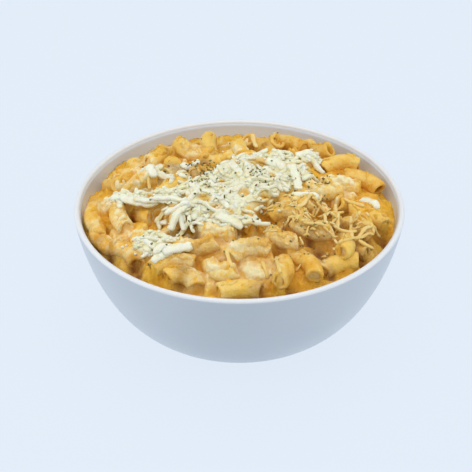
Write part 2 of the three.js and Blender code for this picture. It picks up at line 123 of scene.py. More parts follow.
# Pads of cheese: centre, length, width, turn in degrees, lobes, phase and depth of the lobes
PAD_SHAPES = [
    (2, 2, 32, 32, 0, 2, 0, 0.34), (-45, -8, 22, 7, -9, 3, 1, 0.1), (-41, -44, 15, 9, -25, 3, 1, 0.1),
    (-46, 21, 9, 6, 60, 3, 1, 0.1), (38, 38, 12, 6, 70, 3, 1, 0.1),
]

# ---- what only the looks need ----

BOWL_SIDES = 192
BOWL_STEPS = 90
LIP_STEPS = 12
# How closely the rings of points lie at the bottom, outside and inside
OUTSIDE_BUNCHING = 1.7
INSIDE_BUNCHING = 2.2
THROWING_RINGS = 0.07
RING_SPACING = 3.1
# How far below the rim the painted highlight starts and is full
LIP_HIGHLIGHT = (1.8, 0.6)
OUTSIDE_END = 1.2

CELL = 0.5
REACH = 84.0
AXIS = np.arange(-REACH, REACH + CELL / 2, CELL)
GRID_X, GRID_Y = np.meshgrid(AXIS, AXIS, indexing="ij")
FROM_MIDDLE = np.hypot(GRID_X, GRID_Y)
NOWHERE = -50.0
SIGHT_ROOM = 20.0
SIGHT_STEP = 0.25

TUBE_OUTER = 4.5
TUBE_BORE = 2.35
TUBE_SIDES = 20
TUBE_FLATNESS = (0.86, 1.02)
# A tube's rounded end: how far from its end, and the radius there
END_STATIONS = [
    (0.8, TUBE_OUTER), (0.25, TUBE_OUTER - 0.2), (0.0, TUBE_OUTER - 0.65),
    (0.0, TUBE_BORE + 0.6), (0.3, TUBE_BORE + 0.12), (1.0, TUBE_BORE),
]
# Both ends of a tube: its share of the length and the way out
TUBE_ENDS = ((0.0, -1), (1.0, 1))
OUTER_STATIONS = 16
INNER_STATIONS = 5
# Waves in a tube's wall: depth, how many round it and how fast they turn along it
WALL_WAVES = ((0.035, 2, 2.5), (0.02, 3, -4), (0.015, 5, 9), (0.02, 0, 7))
PIMPLE_DEPTH = 0.014
PIMPLE_WAVES = ((7, 21), (4, -26))
TUBE_LOOK_SEED = 31
FILLER_SEED = 61
FILLER_PLACES = 190
FILLER_TRIALS = 14
FILLER_LIFT = -1.2
FILLER_NEST = 6.2
FILLER_RISE = 2.4
RING_PLACES = 34
RING_REACH = 72.0
SUNK_SEED = 23
SUNK_ROUND = range(78, 180, 11)
SUNK_REACH = 67.0
SUNK_DEPTH = 2.6
SUNK_JITTER = 3
SUNK_WAVER = 0.5
# Elbows on top that are wider than the rest, by their place in the list
WIDE_ELBOWS = {0: 1.16}
PLUG_SHARE = 0.7
PLUG_DEPTHS = (0.3, 1.4)
PLUG_BULGES = (-0.4, 0.6)
PLUG_SIDES = 14
# How much wider than the bore a plug is, and its profile in shares of its radius: the tail goes
# back into the tube by millimetres, the face stands out by shares of the bulge
PLUG_OVERLAP = 0.35
PLUG_TAIL = [(0, -1.4), (0.9, -1.2)]
PLUG_FACE = [(1, 0), (0.75, 0.5), (0.4, 0.9), (0, 1)]
WIDE_BULGE = 1.1
WIDE_MILK = 12

SAUCE_GRID = 300
SAUCE_SEED = 33
# Hills in the cover of sauce, in the bed and on top: seed, height and size
COAT_HILLS = ((0, 0.5, 12), (1, 0.4, 5), (6, 0.3, 2.6), (8, 0.2, 1.3))
BED_HILLS = ((2, 0.6, 9), (3, 0.35, 4))
TOP_HILLS = ((4, 0.2, 1.0), (5, 0.35, 2.2))
# How deep the sauce lies between the elbows, more where they are bare, and less along the wall
CREVICE = 0.1
BARE_CREVICE = 0.8
CREVICE_CLOSES = (60, 72)
BARE_DEPTH = 2.4
BARE_CLIMB = 1.2
COAT_GROW = 0.55
COAT_REACH = 3.2
COAT_RAGGED = 0.55
COAT_RAGGED_SPAN = (-2, 0.8)
COAT_FILL = 1.6
COAT_BLEND = (0.15, 0.6)
# What makes the cover thicker or thinner: its mean, the marked patches, the back and the wall
COAT_MEAN = 0.3
PALE_MORE, GOLD_LESS, SANDY_MORE = 2.0, 1.5, 1.4
BACK_LESS = 0.3
WALL_LESS = 0.5
NEAR_WALL = (64, 76)
COAT_SPAN = (-0.1, 1.1)
# How softly the sauce is smoothed as it is made: after filling, carving and melting
SOFTENING = (0.45, 0.35, 0.3)
# The sauce stays out of a tube's mouth: the room it leaves, and how that rises outwards
MOUTH_RADIUS = 3.2
MOUTH_DEPTH = 3.0
MOUTH_SLOPE = 0.35
MOUTH_STEPS = np.arange(0.4, 5.0, 0.8)
MOUTH_COVERED = 0.75
DROWNED_RISE = -1.5
# The sauce's dip along the wall: its depth, and how far out it starts and is full
MOAT_DEPTH = 0.6
MOAT = (75, 79)
# Where the heap stands clear of the wall in front: azimuth, its spread and the depth of the gap
GAP = (-2.45, 0.45, 3.0)
# How much painted shade darkens the back of the heap, and where that starts and is full
BACK_SHADE = 0.16
BACK_SHADE_SPAN = (36, 54)
# Where the back of the heap starts and ends
BACK = (34, 56)
# How much higher the sauce stands on the left, and where that starts and is full
LEFT_FILL = 0.9
LEFT = (15, 40)
# How far the sauce's edge reaches into the wall
SAUCE_OVERLAP = 0.15
# The hidden side of the sauce: its heights, and how clear it is of the wall and the floor
SKIRT_HEIGHTS = (50.0, 30.0, 14.0, 6.5)
SKIRT_CLEARANCE = 0.3
FLOOR_CLEARANCE = 0.4
# How far below the general level the painted shade of the hollows starts, how deep it is darkest, and where
# it is paler
HOLLOW_START = 0.3
TUBE_DEPTH, SAUCE_DEPTH, STRAND_DEPTH = 5.5, 4.5, 5
PALER_LEFT = (10, 35)

MELTED_THICKNESS = 0.9
RIDGE_COUNT = 640
RIDGE_LIMIT = 77
RIDGE_CURL = 1.2
# Least and most length, width and thickness
RIDGE_SIZES = ((4, 12), (1.5, 2.8), (0.35, 0.85))
# How far a ridge may hang over what is under it
RIDGE_HANG = 0.9
STRAND_SEED = 12
STRAND_THICKNESS = 1.3
# Short bits of cheese baked onto the heap: middle, spread, how many and how far out
BITS_MIDDLE = (33.0, -27.0)
BITS_REACH = 13.0
BIT_COUNT = 130
BIT_LIMIT = 72
BIT_SIZES = ((1.8, 5), (0.9, 1.6), (0.8, 1.1))

SHRED_SEED = 77
SHRED_TRIALS = 4
SHRED_COUNTS = (860, 50, 34, 12, 20)
SHRED_SHARES = (0.28, 0.44, 0.28)
SHRED_LENGTHS = ((3, 6), (6, 12), (12, 19))
SHRED_WIDTHS = (1.8, 2.9)
SHRED_THICKNESS = (1.3, 1.9)
SHRED_CURL = 0.9
SHRED_STEP = 1.0
SHRED_SAG = 0.05
DRAPE_PASSES = 14
# How far a strip's ends may droop, and how far its sides sink into what they lie on
END_DROOP = 0.5
SIDE_DROOP = 0.4
# How a strip rolls and twists, narrows to its ends and is uneven, as shares of its size
STRIP_ROLL, STRIP_TWIST = 0.5, 0.6
END_TAPER = (0.45, 0.75)
NEXT_TAPER = 0.9
STRIP_ROUGHNESS = 0.055
STRIP_WAVE, STRIP_WAVE_RATES = 0.1, (0.8, 1.6)
# How much of its width and thickness a strip adds to the surface under the next one
STRIP_COVER, STRIP_RISE = 0.46, 0.9
LOOSE_CURL = 0.35
LOOSE_WIDTHS = (3.6, 4.8)
LOOSE_THICKNESS = (1.7, 2.2)
SMALL_CURL = 0.8
SMALL_SIZES = ((3, 8), (1.7, 2.7), (1.1, 1.6))
# Hills in the soft cheese: seed, height and size
CHEESE_HILLS = ((1, 0.22, 2.2), (2, 0.3, 4.5))
BASE_RING = 0.65
BASE_SIDE = 0.9
BASE_DEPTH = 0.8
# Shares of the way out at which the soft cheese falls to the sauce and takes on its colour
BASE_FALL, BASE_SAUCED = (0.86, 1.0), (0.72, 0.95)
# How far below the shreds' level the painted shade in the gaps starts, and over what depth it grows full
GAP_START, GAP_DEPTH = 0.2, 2.4
# Where the cheese has melted smooth: centre, length, width and height
SMOOTH_PATCH = (1, -17, 9, 15, 1.3)
DIP_DEPTH = 1.8
# Small hollows in the pile: centre and radius
DIPS = [
    (9.5, 18, 6.5), (26.5, 15, 3.5), (-1.5, 20.5, 3), (2.5, -12.5, 4), (-17.5, -17, 4.5),
    (-11.5, -23.5, 4), (-4.5, -28, 3.5), (-9, 2, 3), (17, 3, 3.5), (-28, -14, 3.5), (13, -14, 3.5),
    (-45, -9, 3),
]

CRUMB_SEED = 5
CRUMB_COUNT = 170
CRUMB_LIMIT = 76
CRUMB_SIZES = (0.5, 1.25)
CRUMB_LENGTHS, CRUMB_UNEVEN = (0.8, 1.5), (0.8, 1.2)
# How far from the middle of a pad to its outline a crumb lies
CRUMB_REACH = (0.2, 1.12)
# How the crumbs are shared out over the pads
CRUMB_SHARES = (0.6, 0.15, 0.12, 0.06, 0.07)
HERB_SEED = 907
HERB_LIMIT = 74
HERB_SIDES = 6
HERB_THICKNESS = 0.16
# Flakes' widths and outlines, as shares of their size, with their tilt in radians and their curl
HERB_WIDTHS = (0.45, 1.0)
HERB_REACHES = (0.7, 1.15)
HERB_TILT = 0.35
HERB_CURL = 0.25
FINE_HERBS = (0.4, 0.8)


class Draw:
    """The same run of numbers as the part's source draws."""

    def __init__(self, seed):
        self.state = seed

    def __call__(self, low, high):
        self.state = self.state * 48271 % 2147483647
        return low + (high - low) * self.state / 2147483647


# ---- fields over the heap, on a square grid seen from above ----


def smooth(field, sigma):
    across = np.fft.fftfreq(len(AXIS), CELL)[:, None]
    along = np.fft.rfftfreq(len(AXIS), CELL)[None, :]
    decay = np.exp(-2 * (math.pi * sigma) ** 2 * (across**2 + along**2))
    return np.fft.irfft2(np.fft.rfft2(field) * decay, s=field.shape)


def noise_field(seed, size):
    """Random hills about this far across, with a mean of 0 and a spread of 1."""
    rough = np.random.default_rng(seed).standard_normal(GRID_X.shape)
    mounds = smooth(rough, size / 2.5)
    return (mounds - mounds.mean()) / mounds.std()


def sample(field, x, y):
    u = np.clip((np.asarray(x) + REACH) / CELL, 0, len(AXIS) - 1.001)
    v = np.clip((np.asarray(y) + REACH) / CELL, 0, len(AXIS) - 1.001)
    i, j = u.astype(int), v.astype(int)
    s, t = u - i, v - j
    low = field[i, j] * (1 - t) + field[i, j + 1] * t
    high = field[i + 1, j] * (1 - t) + field[i + 1, j + 1] * t
    return low * (1 - s) + high * s


def under(field, points):
    """The field's values below or above these points."""
    return sample(field, points[:, 0], points[:, 1])


def nearby(x, y, radius):
    """The cells of the grid round a place, and how far off each of them is."""
    def span(middle):
        low = int((middle - radius + REACH) / CELL)
        high = int((middle + radius + REACH) / CELL) + 2
        return slice(max(0, low), max(0, min(len(AXIS), high)))

    cells = span(x), span(y)
    return cells, np.hypot(GRID_X[cells] - x, GRID_Y[cells] - y)


def raise_to(field, cells, top, is_met):
    """Raises those of the cells that are met up to the top."""
    field[cells] = np.maximum(field[cells], np.where(is_met, top, NOWHERE))


def add_ball(field, centre, radius, reach):
    """Raises the field over the part of a ball within this reach."""
    cells, away = nearby(centre[0], centre[1], radius)
    top = centre[2] + np.sqrt(np.maximum(radius**2 - away**2, 0))
    raise_to(field, cells, top, away < min(radius, reach))


def add_disc(field, centre, radius, top):
    cells, away = nearby(centre[0], centre[1], radius)
    share = away / radius
    raise_to(field, cells, top - 0.5 * share**2, share < 1)


def hills(seed, layers):
    """Hills upon hills: each layer's own seed, height and size."""
    return sum(height * noise_field(seed + more, size) for more, height, size in layers)


def step(value, low, high):
    share = np.clip((value - low) / (high - low), 0, 1)
    return share * share * (3 - 2 * share)


def line_of_sight(pixel_x, pixel_y):
    """Direction in which the camera sees this pixel of the photograph."""
    right = (pixel_x / PICTURE - 0.5) * SENSOR / LENS
    up = (0.5 - pixel_y / PICTURE) * SENSOR / LENS
    cos, sin = math.cos(EYE_TILT), math.sin(EYE_TILT)
    direction = np.array([right, up * cos + sin, up * sin - cos])
    return direction / np.linalg.norm(direction)


def seen_place(pixel_x, pixel_y, surface):
    """Where the line of sight through this pixel meets the surface, seen from above."""
    direction = line_of_sight(pixel_x, pixel_y)
    heights = np.arange(BOWL_HEIGHT + SIGHT_ROOM, FLOOR_HEIGHT, -SIGHT_STEP)
    reach = (heights - EYE[2]) / direction[2]
    x, y = EYE[0] + reach * direction[0], EYE[1] + reach * direction[1]
    below = heights < sample(surface, x, y)
    first = int(np.argmax(below)) if below.any() else len(heights) - 1
    return float(x[first]), float(y[first])


# ---- bowl ----


def wall_shape(share):
    return (1 - (1 - np.clip(share, 0, 1)) ** WALL_POWER) ** WALL_FULLNESS


def outer_radius(height):
    return RIM_RADIUS * wall_shape(height / BOWL_HEIGHT)


def inner_radius(height):
    share = (np.minimum(height, BOWL_HEIGHT) - FLOOR_HEIGHT) / (BOWL_HEIGHT - FLOOR_HEIGHT)
    return (RIM_RADIUS - LIP_THICKNESS) * wall_shape(share)


def bowl_profile():
    foot_inner = FOOT_RADIUS - FOOT_WIDTH
    points = [(0, FOOT_RECESS), (foot_inner - 2, FOOT_RECESS), (foot_inner - FOOT_EDGE, FOOT_RECESS)]
    points += [(foot_inner - 0.3, 0.5), (foot_inner, 0.12), (foot_inner + 0.3, 0)]
    points += [(FOOT_RADIUS - FOOT_EDGE, 0), (FOOT_RADIUS - 0.3, 0.15), (FOOT_RADIUS, FOOT_EDGE)]
    points += [(FOOT_RADIUS, FOOT_HEIGHT - 0.4), (FOOT_RADIUS + 0.3, FOOT_HEIGHT)]
    lip_radius = LIP_THICKNESS / 2
    lip_height = BOWL_HEIGHT - lip_radius
    for i in range(1, BOWL_STEPS + 1):
        share = (i / BOWL_STEPS) ** OUTSIDE_BUNCHING
        height = FOOT_HEIGHT + (lip_height - FOOT_HEIGHT) * share
        fade = math.sin(math.pi * share) ** 0.5 if share < 1 else 0
        ring = THROWING_RINGS * fade * math.sin(2 * math.pi * height / RING_SPACING)
        points.append((float(outer_radius(height)) - ring * ring / THROWING_RINGS, height))
    middle = RIM_RADIUS - lip_radius
    for i in range(1, LIP_STEPS + 1):
        angle = math.pi * i / LIP_STEPS
        points.append((middle + lip_radius * math.cos(angle), lip_height + lip_radius * math.sin(angle)))
    for i in range(BOWL_STEPS, 0, -1):
        height = FLOOR_HEIGHT + (lip_height - FLOOR_HEIGHT) * (i / BOWL_STEPS) ** INSIDE_BUNCHING
        points.append((float(inner_radius(height)), height))
    points.append((0, FLOOR_HEIGHT))
    return points


def ring_faces(rows, sides, first=0, is_loop=False, is_flipped=False):
    """Quads between rows of points that each go once round, from this point on."""
    faces = []
    for row in range(rows if is_loop else rows - 1):
        low, high = first + row * sides, first + (row + 1) % rows * sides
        for k in range(sides):
            m = (k + 1) % sides
            quad = (low + k, low + m, high + m, high + k)
            faces.append((quad[0], *quad[:0:-1]) if is_flipped else quad)
    return faces


def turned(profile, sides):
    """Points and faces of a closed turned body, whose profile starts and ends on the axis."""
    angles = 2 * math.pi * np.arange(sides) / sides
    points = [(0.0, 0.0, profile[0][1])]
    for radius, height in profile[1:-1]:
        points += [(radius * math.cos(a), radius * math.sin(a), height) for a in angles]
    points.append((0.0, 0.0, profile[-1][1]))
    rings = len(profile) - 2
    faces = ring_faces(rings, sides, 1)
    top, last = 1 + (rings - 1) * sides, len(points) - 1
    for i in range(sides):
        j = (i + 1) % sides
        faces += [(0, 1 + j, 1 + i), (top + i, top + j, last)]
    return np.array(points), faces


def bowl_arrays():
    points, faces = turned(bowl_profile(), BOWL_SIDES)
    height = points[:, 2]
    wall_middle = (outer_radius(height) + inner_radius(np.maximum(height, FLOOR_HEIGHT))) / 2
    # The outside of the wall is marked for its painted shade.
    is_outside = (np.hypot(points[:, 0], points[:, 1]) > wall_middle) & (height < BOWL_HEIGHT - OUTSIDE_END)
    # How strongly the painted highlight whitens each point near the rim
    rim_highlight = step(height, BOWL_HEIGHT - LIP_HIGHLIGHT[0], BOWL_HEIGHT - LIP_HIGHLIGHT[1])
    return points, faces, {"outside": is_outside, "rim_highlight": rim_highlight}


# ---- bed of the heap ----


def bed_height(x, y):
    share = np.minimum(1, np.hypot(x, y) / HEAP_RADIUS)
    dome = BED_CENTRE - BED_FALL * share**BED_POWER
    wide = np.sin(x / WIDE_WAVE) * np.cos(y / WIDE_WAVE)
    narrow = np.sin((x - y) / NARROW_WAVE) * np.cos((x + 2 * y) / (2 * NARROW_WAVE))
    lumps = LUMP_HEIGHT * (wide + NARROW_SHARE * narrow)
    return dome + (lumps - BED_LEAN * y / HEAP_RADIUS) * (1 - share**LUMP_FADE)


class Pad:
    """A patch of cheese with a lobed outline, seen from above."""

    def __init__(self, x, y, length, width, turn, lobes, phase, depth):
        self.x, self.y, self.length, self.width = x, y, length, width
        self.lobes, self.phase, self.depth = lobes, phase, depth
        self.cos, self.sin = math.cos(math.radians(turn)), math.sin(math.radians(turn))

    def reach(self, angle):
        return 1 + self.depth * np.sin(self.lobes * angle + self.phase)

    def share(self, x, y):
        """1 in the middle, 0 at the outline and beyond."""
        along = ((x - self.x) * self.cos + (y - self.y) * self.sin) / self.length
        across = ((y - self.y) * self.cos - (x - self.x) * self.sin) / self.width
        return np.maximum(0, 1 - np.hypot(across, along) / self.reach(np.arctan2(across, along)))

    def place(self, angle, share):
        """The place this share of the way from the middle to the outline."""
        along = self.length * self.reach(angle) * share * np.cos(angle)
        across = self.width * self.reach(angle) * share * np.sin(angle)
        x = self.x + along * self.cos - across * self.sin
        return x, self.y + along * self.sin + across * self.cos

    def random_place(self, chance):
        return self.place(chance.uniform(0, 2 * math.pi), 0.98 * math.sqrt(chance.uniform()))


PADS = [Pad(*shape) for shape in PAD_SHAPES]


def cheese_share(x, y):
    """1 in the middle of a pad of cheese, 0 at its outline and beyond."""
    return np.max([pad.share(x, y) for pad in PADS], axis=0)


def core_height(x, y):
    return bed_height(x, y) + CHEESE_RAISE * np.minimum(1, RAISE_SLOPE * cheese_share(x, y))


# ---- macaroni ----


class Elbow:
    """A bent tube at its place in the heap."""

    def __init__(self, x, y, z, heading, tilt, roll, sweep, bend):
        self.x, self.y, self.z = x, y, z
        self.sweep, self.bend = sweep, bend
        self.pose = (heading, tilt, roll)
        ch, sh = math.cos(heading), math.sin(heading)
        ct, st = math.cos(tilt), math.sin(tilt)
        cr, sr = math.cos(roll), math.sin(roll)
        turn_z = np.array([[ch, -sh, 0], [sh, ch, 0], [0, 0, 1]])
        turn_y = np.array([[ct, 0, st], [0, 1, 0], [-st, 0, ct]])
        turn_x = np.array([[1, 0, 0], [0, cr, -sr], [0, sr, cr]])
        self.turn = turn_z @ turn_y @ turn_x

    def moved(self, x, y, z):
        return Elbow(x, y, z, *self.pose, self.sweep, self.bend)

    def length(self):
        return self.sweep * self.bend

    def centre(self, share):
        """Points of the centreline, and the directions across and along the tube there."""
        angle = (np.asarray(share) - 0.5) * self.sweep
        middle = math.sin(self.sweep / 2) / (self.sweep / 2)
        zero = np.zeros_like(angle)
        point = np.stack([self.bend * np.sin(angle), self.bend * (np.cos(angle) - middle), zero], -1)
        normal = np.stack([np.sin(angle), np.cos(angle), zero], -1)
        tangent = np.stack([np.cos(angle), -np.sin(angle), zero], -1)
        place = np.array([self.x, self.y, self.z])
        return point @ self.turn.T + place, normal @ self.turn.T, tangent @ self.turn.T

    def samples(self):
        return self.centre(np.linspace(0, 1, TUBE_SAMPLES))[0]

    def line(self, trim):
        """Points close together on the centreline, short of its ends by this share."""
        return self.centre(np.linspace(trim, 1 - trim, int(self.length() / CELL)))[0]

    def wall_excess(self):
        points = self.samples()
        reach = np.hypot(points[:, 0], points[:, 1]) - inner_radius(points[:, 2])
        return reach.max() + TUBE_RADIUS + WALL_CLEARANCE

    def is_in_the_open(self):
        """Whether it reaches into the open space between the heap and the wall."""
        points = self.samples()
        azimuth = np.degrees(np.arctan2(points[:, 1], points[:, 0]))
        is_in_sector = (azimuth > OPEN_SECTOR[0]) & (azimuth < OPEN_SECTOR[1])
        return bool((is_in_sector & (np.hypot(points[:, 0], points[:, 1]) > OPEN_RADIUS)).any())

    def fits(self):
        return self.wall_excess() <= 0 and not self.is_in_the_open()

    def rise(self):
        return self.z - float(bed_height(self.x, self.y))

    def pulled_in(self):
        """The elbow, moved towards the middle until it is clear of the wall."""
        elbow = self
        while (excess := elbow.wall_excess()) >= 0.001:
            keep = 1 - excess / math.hypot(elbow.x, elbow.y)
            elbow = elbow.moved(elbow.x * keep, elbow.y * keep, elbow.z)
        return elbow


def settle(elbow, placed, lift, nest):
    """Lowers an elbow until it rests on the bed or on elbows already down."""
    points = elbow.moved(elbow.x, elbow.y, 0).samples()
    floor = bed_height(points[:, 0], points[:, 1]) + lift
    apart = np.hypot(points[:, None, 0] - placed[:, 0], points[:, None, 1] - placed[:, 1])
    over = placed[:, 2] + np.sqrt(np.maximum(nest**2 - apart**2, 0))
    floor = np.maximum(floor, np.where(apart < nest, over, -np.inf).max(axis=1))
    return elbow.moved(elbow.x, elbow.y, (floor - points[:, 2]).max())


def random_elbow(draw, x, y):
    along_wall = math.atan2(y, x) + math.pi / 2
    most_turn = EDGE_TURN if math.hypot(x, y) > EDGE_RADIUS else math.pi
    sweep = math.radians(draw(*SWEEP_RANGE))
    x += draw(-SCATTER_JITTER, SCATTER_JITTER)
    y += draw(-SCATTER_JITTER, SCATTER_JITTER)
    heading = along_wall + draw(-1, 1) * most_turn
    tilt = draw(-MOST_TILT, MOST_TILT)
    roll = draw(-MOST_ROLL, MOST_ROLL)
    return Elbow(x, y, 0, heading, tilt, roll, sweep, draw(*LENGTH_RANGE) / sweep)


def top_elbow(x, y, rise, heading, tilt, roll, sweep):
    sweep = math.radians(sweep)
    turns = (math.radians(heading), math.radians(tilt), math.radians(roll))
    z = float(bed_height(x, y)) + rise
    return Elbow(x, y, z, *turns, sweep, TOP_TUBE_LENGTH / sweep).pulled_in()


def best_settled(draw, x, y, placed, trials, lift, nest):
    best = None
    for _ in range(trials):
        elbow = settle(random_elbow(draw, x, y), placed, lift, nest)
        if elbow.fits() and (best is None or elbow.rise() < best.rise()):
            best = elbow
    return best


def settled_elbows(draw, elbows, places, trials, lift, nest, most_rise):
    """An elbow at each place where one settles low enough among these and each other."""
    placed = np.concatenate([elbow.samples() for elbow in elbows])
    settled = []
    for x, y in places:
        best = best_settled(draw, x, y, placed, trials, lift, nest)
        if best is not None and best.rise() < most_rise:
            settled.append(best)
            placed = np.concatenate([placed, best.samples()])
    return settled


def spiral_places(order):
    """Places evenly spread over the heap, from the middle outwards, taken in this order."""
    for count in order:
        reach = SCATTER_RADIUS * math.sqrt((count + 0.5) / len(order))
        yield reach * math.cos(count * GOLDEN_ANGLE), reach * math.sin(count * GOLDEN_ANGLE)


def packed_elbows():
    """The elbows of the solid: those on top in their places, the others packed round them."""
    top = [top_elbow(*place) for place in TOP_ELBOWS]
    order = [count * ELBOW_STRIDE % ELBOW_COUNT for count in range(ELBOW_COUNT)]
    limits = (ELBOW_TRIALS, TUBE_LIFT, NEST_DISTANCE, MOST_RISE)
    elbows = top + settled_elbows(Draw(ELBOW_SEED), top, spiral_places(order), *limits)
    return [elbow for elbow in elbows if cheese_share(elbow.x, elbow.y) <= PAD_KEEP_OUT]


def filler_elbows(elbows):
    """Elbows half sunk in the bed between the others: once round the wall, then all over."""
    angles = [2 * math.pi * count / RING_PLACES for count in range(RING_PLACES)]
    places = [(RING_REACH * math.cos(angle), RING_REACH * math.sin(angle)) for angle in angles]
    places += spiral_places(range(FILLER_PLACES))
    clear = [place for place in places if cheese_share(*place) <= PAD_KEEP_OUT]
    limits = (FILLER_TRIALS, FILLER_LIFT, FILLER_NEST, FILLER_RISE)
    return settled_elbows(Draw(FILLER_SEED), elbows, clear, *limits)


def sunk_elbows():
    """Elbows that barely break the sauce where the heap stands back from the wall."""
    draw = Draw(SUNK_SEED)
    sunk = []
    for azimuth in SUNK_ROUND:
        reach = SUNK_REACH + draw(-SUNK_JITTER, SUNK_JITTER)
        angle = math.radians(azimuth)
        elbow = random_elbow(draw, reach * math.cos(angle), reach * math.sin(angle))
        z = float(bed_height(elbow.x, elbow.y)) - SUNK_DEPTH + draw(-SUNK_WAVER, SUNK_WAVER)
        elbow = elbow.moved(elbow.x, elbow.y, z)
        if elbow.wall_excess() <= 0:
            sunk.append(elbow)
    return sunk


def tube_stations(length):
    """Places along the tube and radii there, once round its wall: outside, end, inside, end."""
    first, last = END_STATIONS[0][0], END_STATIONS[-1][0]
    outside = [(d, TUBE_OUTER) for d in np.linspace(first, length - first, OUTER_STATIONS)[1:-1]]
    inside = [(d, TUBE_BORE) for d in np.linspace(length - last, last, INNER_STATIONS)[1:-1]]
    far_end = [(length - d, radius) for d, radius in END_STATIONS]
    return np.array(outside + far_end + inside + END_STATIONS[::-1])


def wall_waves(around, share, chance):
    """By how much the tube's wall stands out at each point."""
    phases = chance.uniform(0, 2 * math.pi, len(WALL_WAVES) + len(PIMPLE_WAVES))
    wave = 0
    for (depth, count, turn), phase in zip(WALL_WAVES, phases):
        wave = wave + depth * np.sin(count * around + phase + turn * share)
    pimple = PIMPLE_DEPTH
    for (count, turn), phase in zip(PIMPLE_WAVES, phases[len(WALL_WAVES):]):
        pimple = pimple * np.sin(count * around + phase + turn * share)
    return wave + pimple


def tube_mesh(elbow, chance, widening=1.0):
    stations = tube_stations(elbow.length())
    shares = stations[:, 0] / elbow.length()
    centre, normal, tangent = elbow.centre(shares)
    across = np.cross(normal, tangent)
    around = 2 * math.pi * np.arange(TUBE_SIDES) / TUBE_SIDES
    radius = stations[:, 1:] * (1 + wall_waves(around, shares[:, None], chance)) * widening
    wide = radius * np.cos(around)
    high = chance.uniform(*TUBE_FLATNESS) * radius * np.sin(around)
    points = centre[:, None] + wide[:, :, None] * normal[:, None] + high[:, :, None] * across[:, None]
    # Marks the inside of the tube, which gets painted shade.
    inside = np.repeat(stations[:, 1] < TUBE_BORE + 0.3, TUBE_SIDES).astype(float)
    return points.reshape(-1, 3), ring_faces(len(stations), TUBE_SIDES, is_loop=True), inside


def plug_mesh(elbow, share, way, widening, chance):
    """A drop of sauce that closes one mouth of the tube."""
    end, normal, tangent = elbow.centre(share)
    outward = way * tangent
    across = np.cross(outward, normal)
    radius = (TUBE_BORE + PLUG_OVERLAP) * widening
    bulge = WIDE_BULGE if widening > 1 else chance.uniform(*PLUG_BULGES)
    depth = 0 if widening > 1 else chance.uniform(*PLUG_DEPTHS)
    profile = [(wide * radius, height) for wide, height in PLUG_TAIL]
    profile += [(wide * radius, high * bulge) for wide, high in PLUG_FACE]
    points, faces = turned(profile, PLUG_SIDES)
    return end - outward * depth + points @ np.array([normal, across, outward]), faces


# ---- sauce ----


def coat_tops(elbows, coat):
    """Heights of a ragged film that lies over the tops of the tubes and ends on their flanks."""
    field = np.full(GRID_X.shape, NOWHERE)
    ragged = np.clip(noise_field(SAUCE_SEED + 7, 4), *COAT_RAGGED_SPAN)
    for elbow in elbows:
        for point in elbow.line(0.9 * COAT_REACH / elbow.length()):
            thick = TUBE_OUTER + COAT_GROW * float(sample(coat, point[0], point[1]))
            reach = COAT_REACH + COAT_RAGGED * float(sample(ragged, point[0], point[1]))
            add_ball(field, point, thick, reach)
    return field


def tube_tops(elbows):
    field = np.full(GRID_X.shape, NOWHERE)
    for elbow in elbows:
        for point in elbow.line(min(0.25, TUBE_OUTER * 0.45 / elbow.length())):
            add_ball(field, point, TUBE_OUTER, TUBE_OUTER)
    return field


# Where the sauce is thick and pale, in pixels of the photograph, and how far it reaches
PALE_PIXELS = [
    (142, 163, 5), (155, 170, 6), (143, 182, 6), (186, 160, 6), (106, 208, 9), (90, 229, 6),
    (122, 226, 8), (112, 249, 9), (206, 276, 9), (226, 249, 9), (247, 268, 10), (267, 271, 7),
    (335, 182, 8), (365, 253, 4), (188, 247, 6), (150, 238, 8),
]
# Where it is thin and the macaroni shows golden
GOLD_PIXELS = [
    (207, 138, 8), (165, 151, 6), (185, 150, 7), (124, 184, 7), (158, 188, 8), (176, 178, 9),
    (192, 176, 9), (84, 213, 7), (92, 216, 6), (104, 230, 7), (156, 222, 5), (133, 246, 8),
    (156, 273, 12), (200, 263, 9), (211, 249, 7), (241, 287, 9), (279, 276, 6), (307, 270, 10),
    (345, 245, 9), (346, 264, 9), (385, 225, 10), (367, 212, 10), (262, 222, 9), (340, 160, 9),
    (365, 180, 11), (265, 143, 9), (287, 140, 9), (300, 148, 9),
]
# Where it is thick but golden
SANDY_PIXELS = [
    (276, 240, 9), (294, 234, 10), (262, 246, 8), (304, 250, 9), (286, 220, 8), (308, 218, 9),
    (320, 236, 9), (338, 222, 8), (350, 238, 7), (366, 234, 7), (200, 172, 9), (166, 222, 7),
    (200, 248, 7), (176, 256, 6),
]
# Hollows between the pieces, where dark shade is painted, their radius and their depth
HOLLOW_PIXELS = [
    (131, 196, 4.5, 3), (133, 215, 3.5, 3), (180, 234, 3, 3), (194, 236, 3, 2), (141, 252, 3, 2.5),
    (134, 261, 3.5, 2.5), (183, 270, 4, 3), (138, 274, 2.5, 2), (98, 243, 3.5, 3), (109, 254, 3, 2.5),
    (310, 233, 2.4, 3), (329, 215, 2.5, 3), (345, 213, 3, 3), (342, 230, 3, 2.5), (365, 228, 2.5, 2.5),
    (368, 238, 2.5, 2.5), (384, 241, 4.5, 3.5), (363, 260, 3.5, 3), (331, 272, 2.5, 2),
    (319, 255, 4, 1.5), (292, 289, 3, 2), (259, 291, 5, 2.5), (243, 239, 2.5, 2), (264, 147, 4, 3),
    (170, 165, 5, 2), (204, 162, 3, 1.5), (218, 155, 3, 1.5),
]


def blob(pixel_x, pixel_y, radius, surface):
    """1 where the surface shows at this pixel, fading to 0 around it."""
    x, y = seen_place(pixel_x, pixel_y, surface)
    return np.exp(-((GRID_X - x) ** 2 + (GRID_Y - y) ** 2) / radius**2)


def patches(pixels, surface):
    """1 in the middle of each patch, fading to 0 around it."""
    return np.max([blob(*patch, surface) for patch in pixels], axis=0)


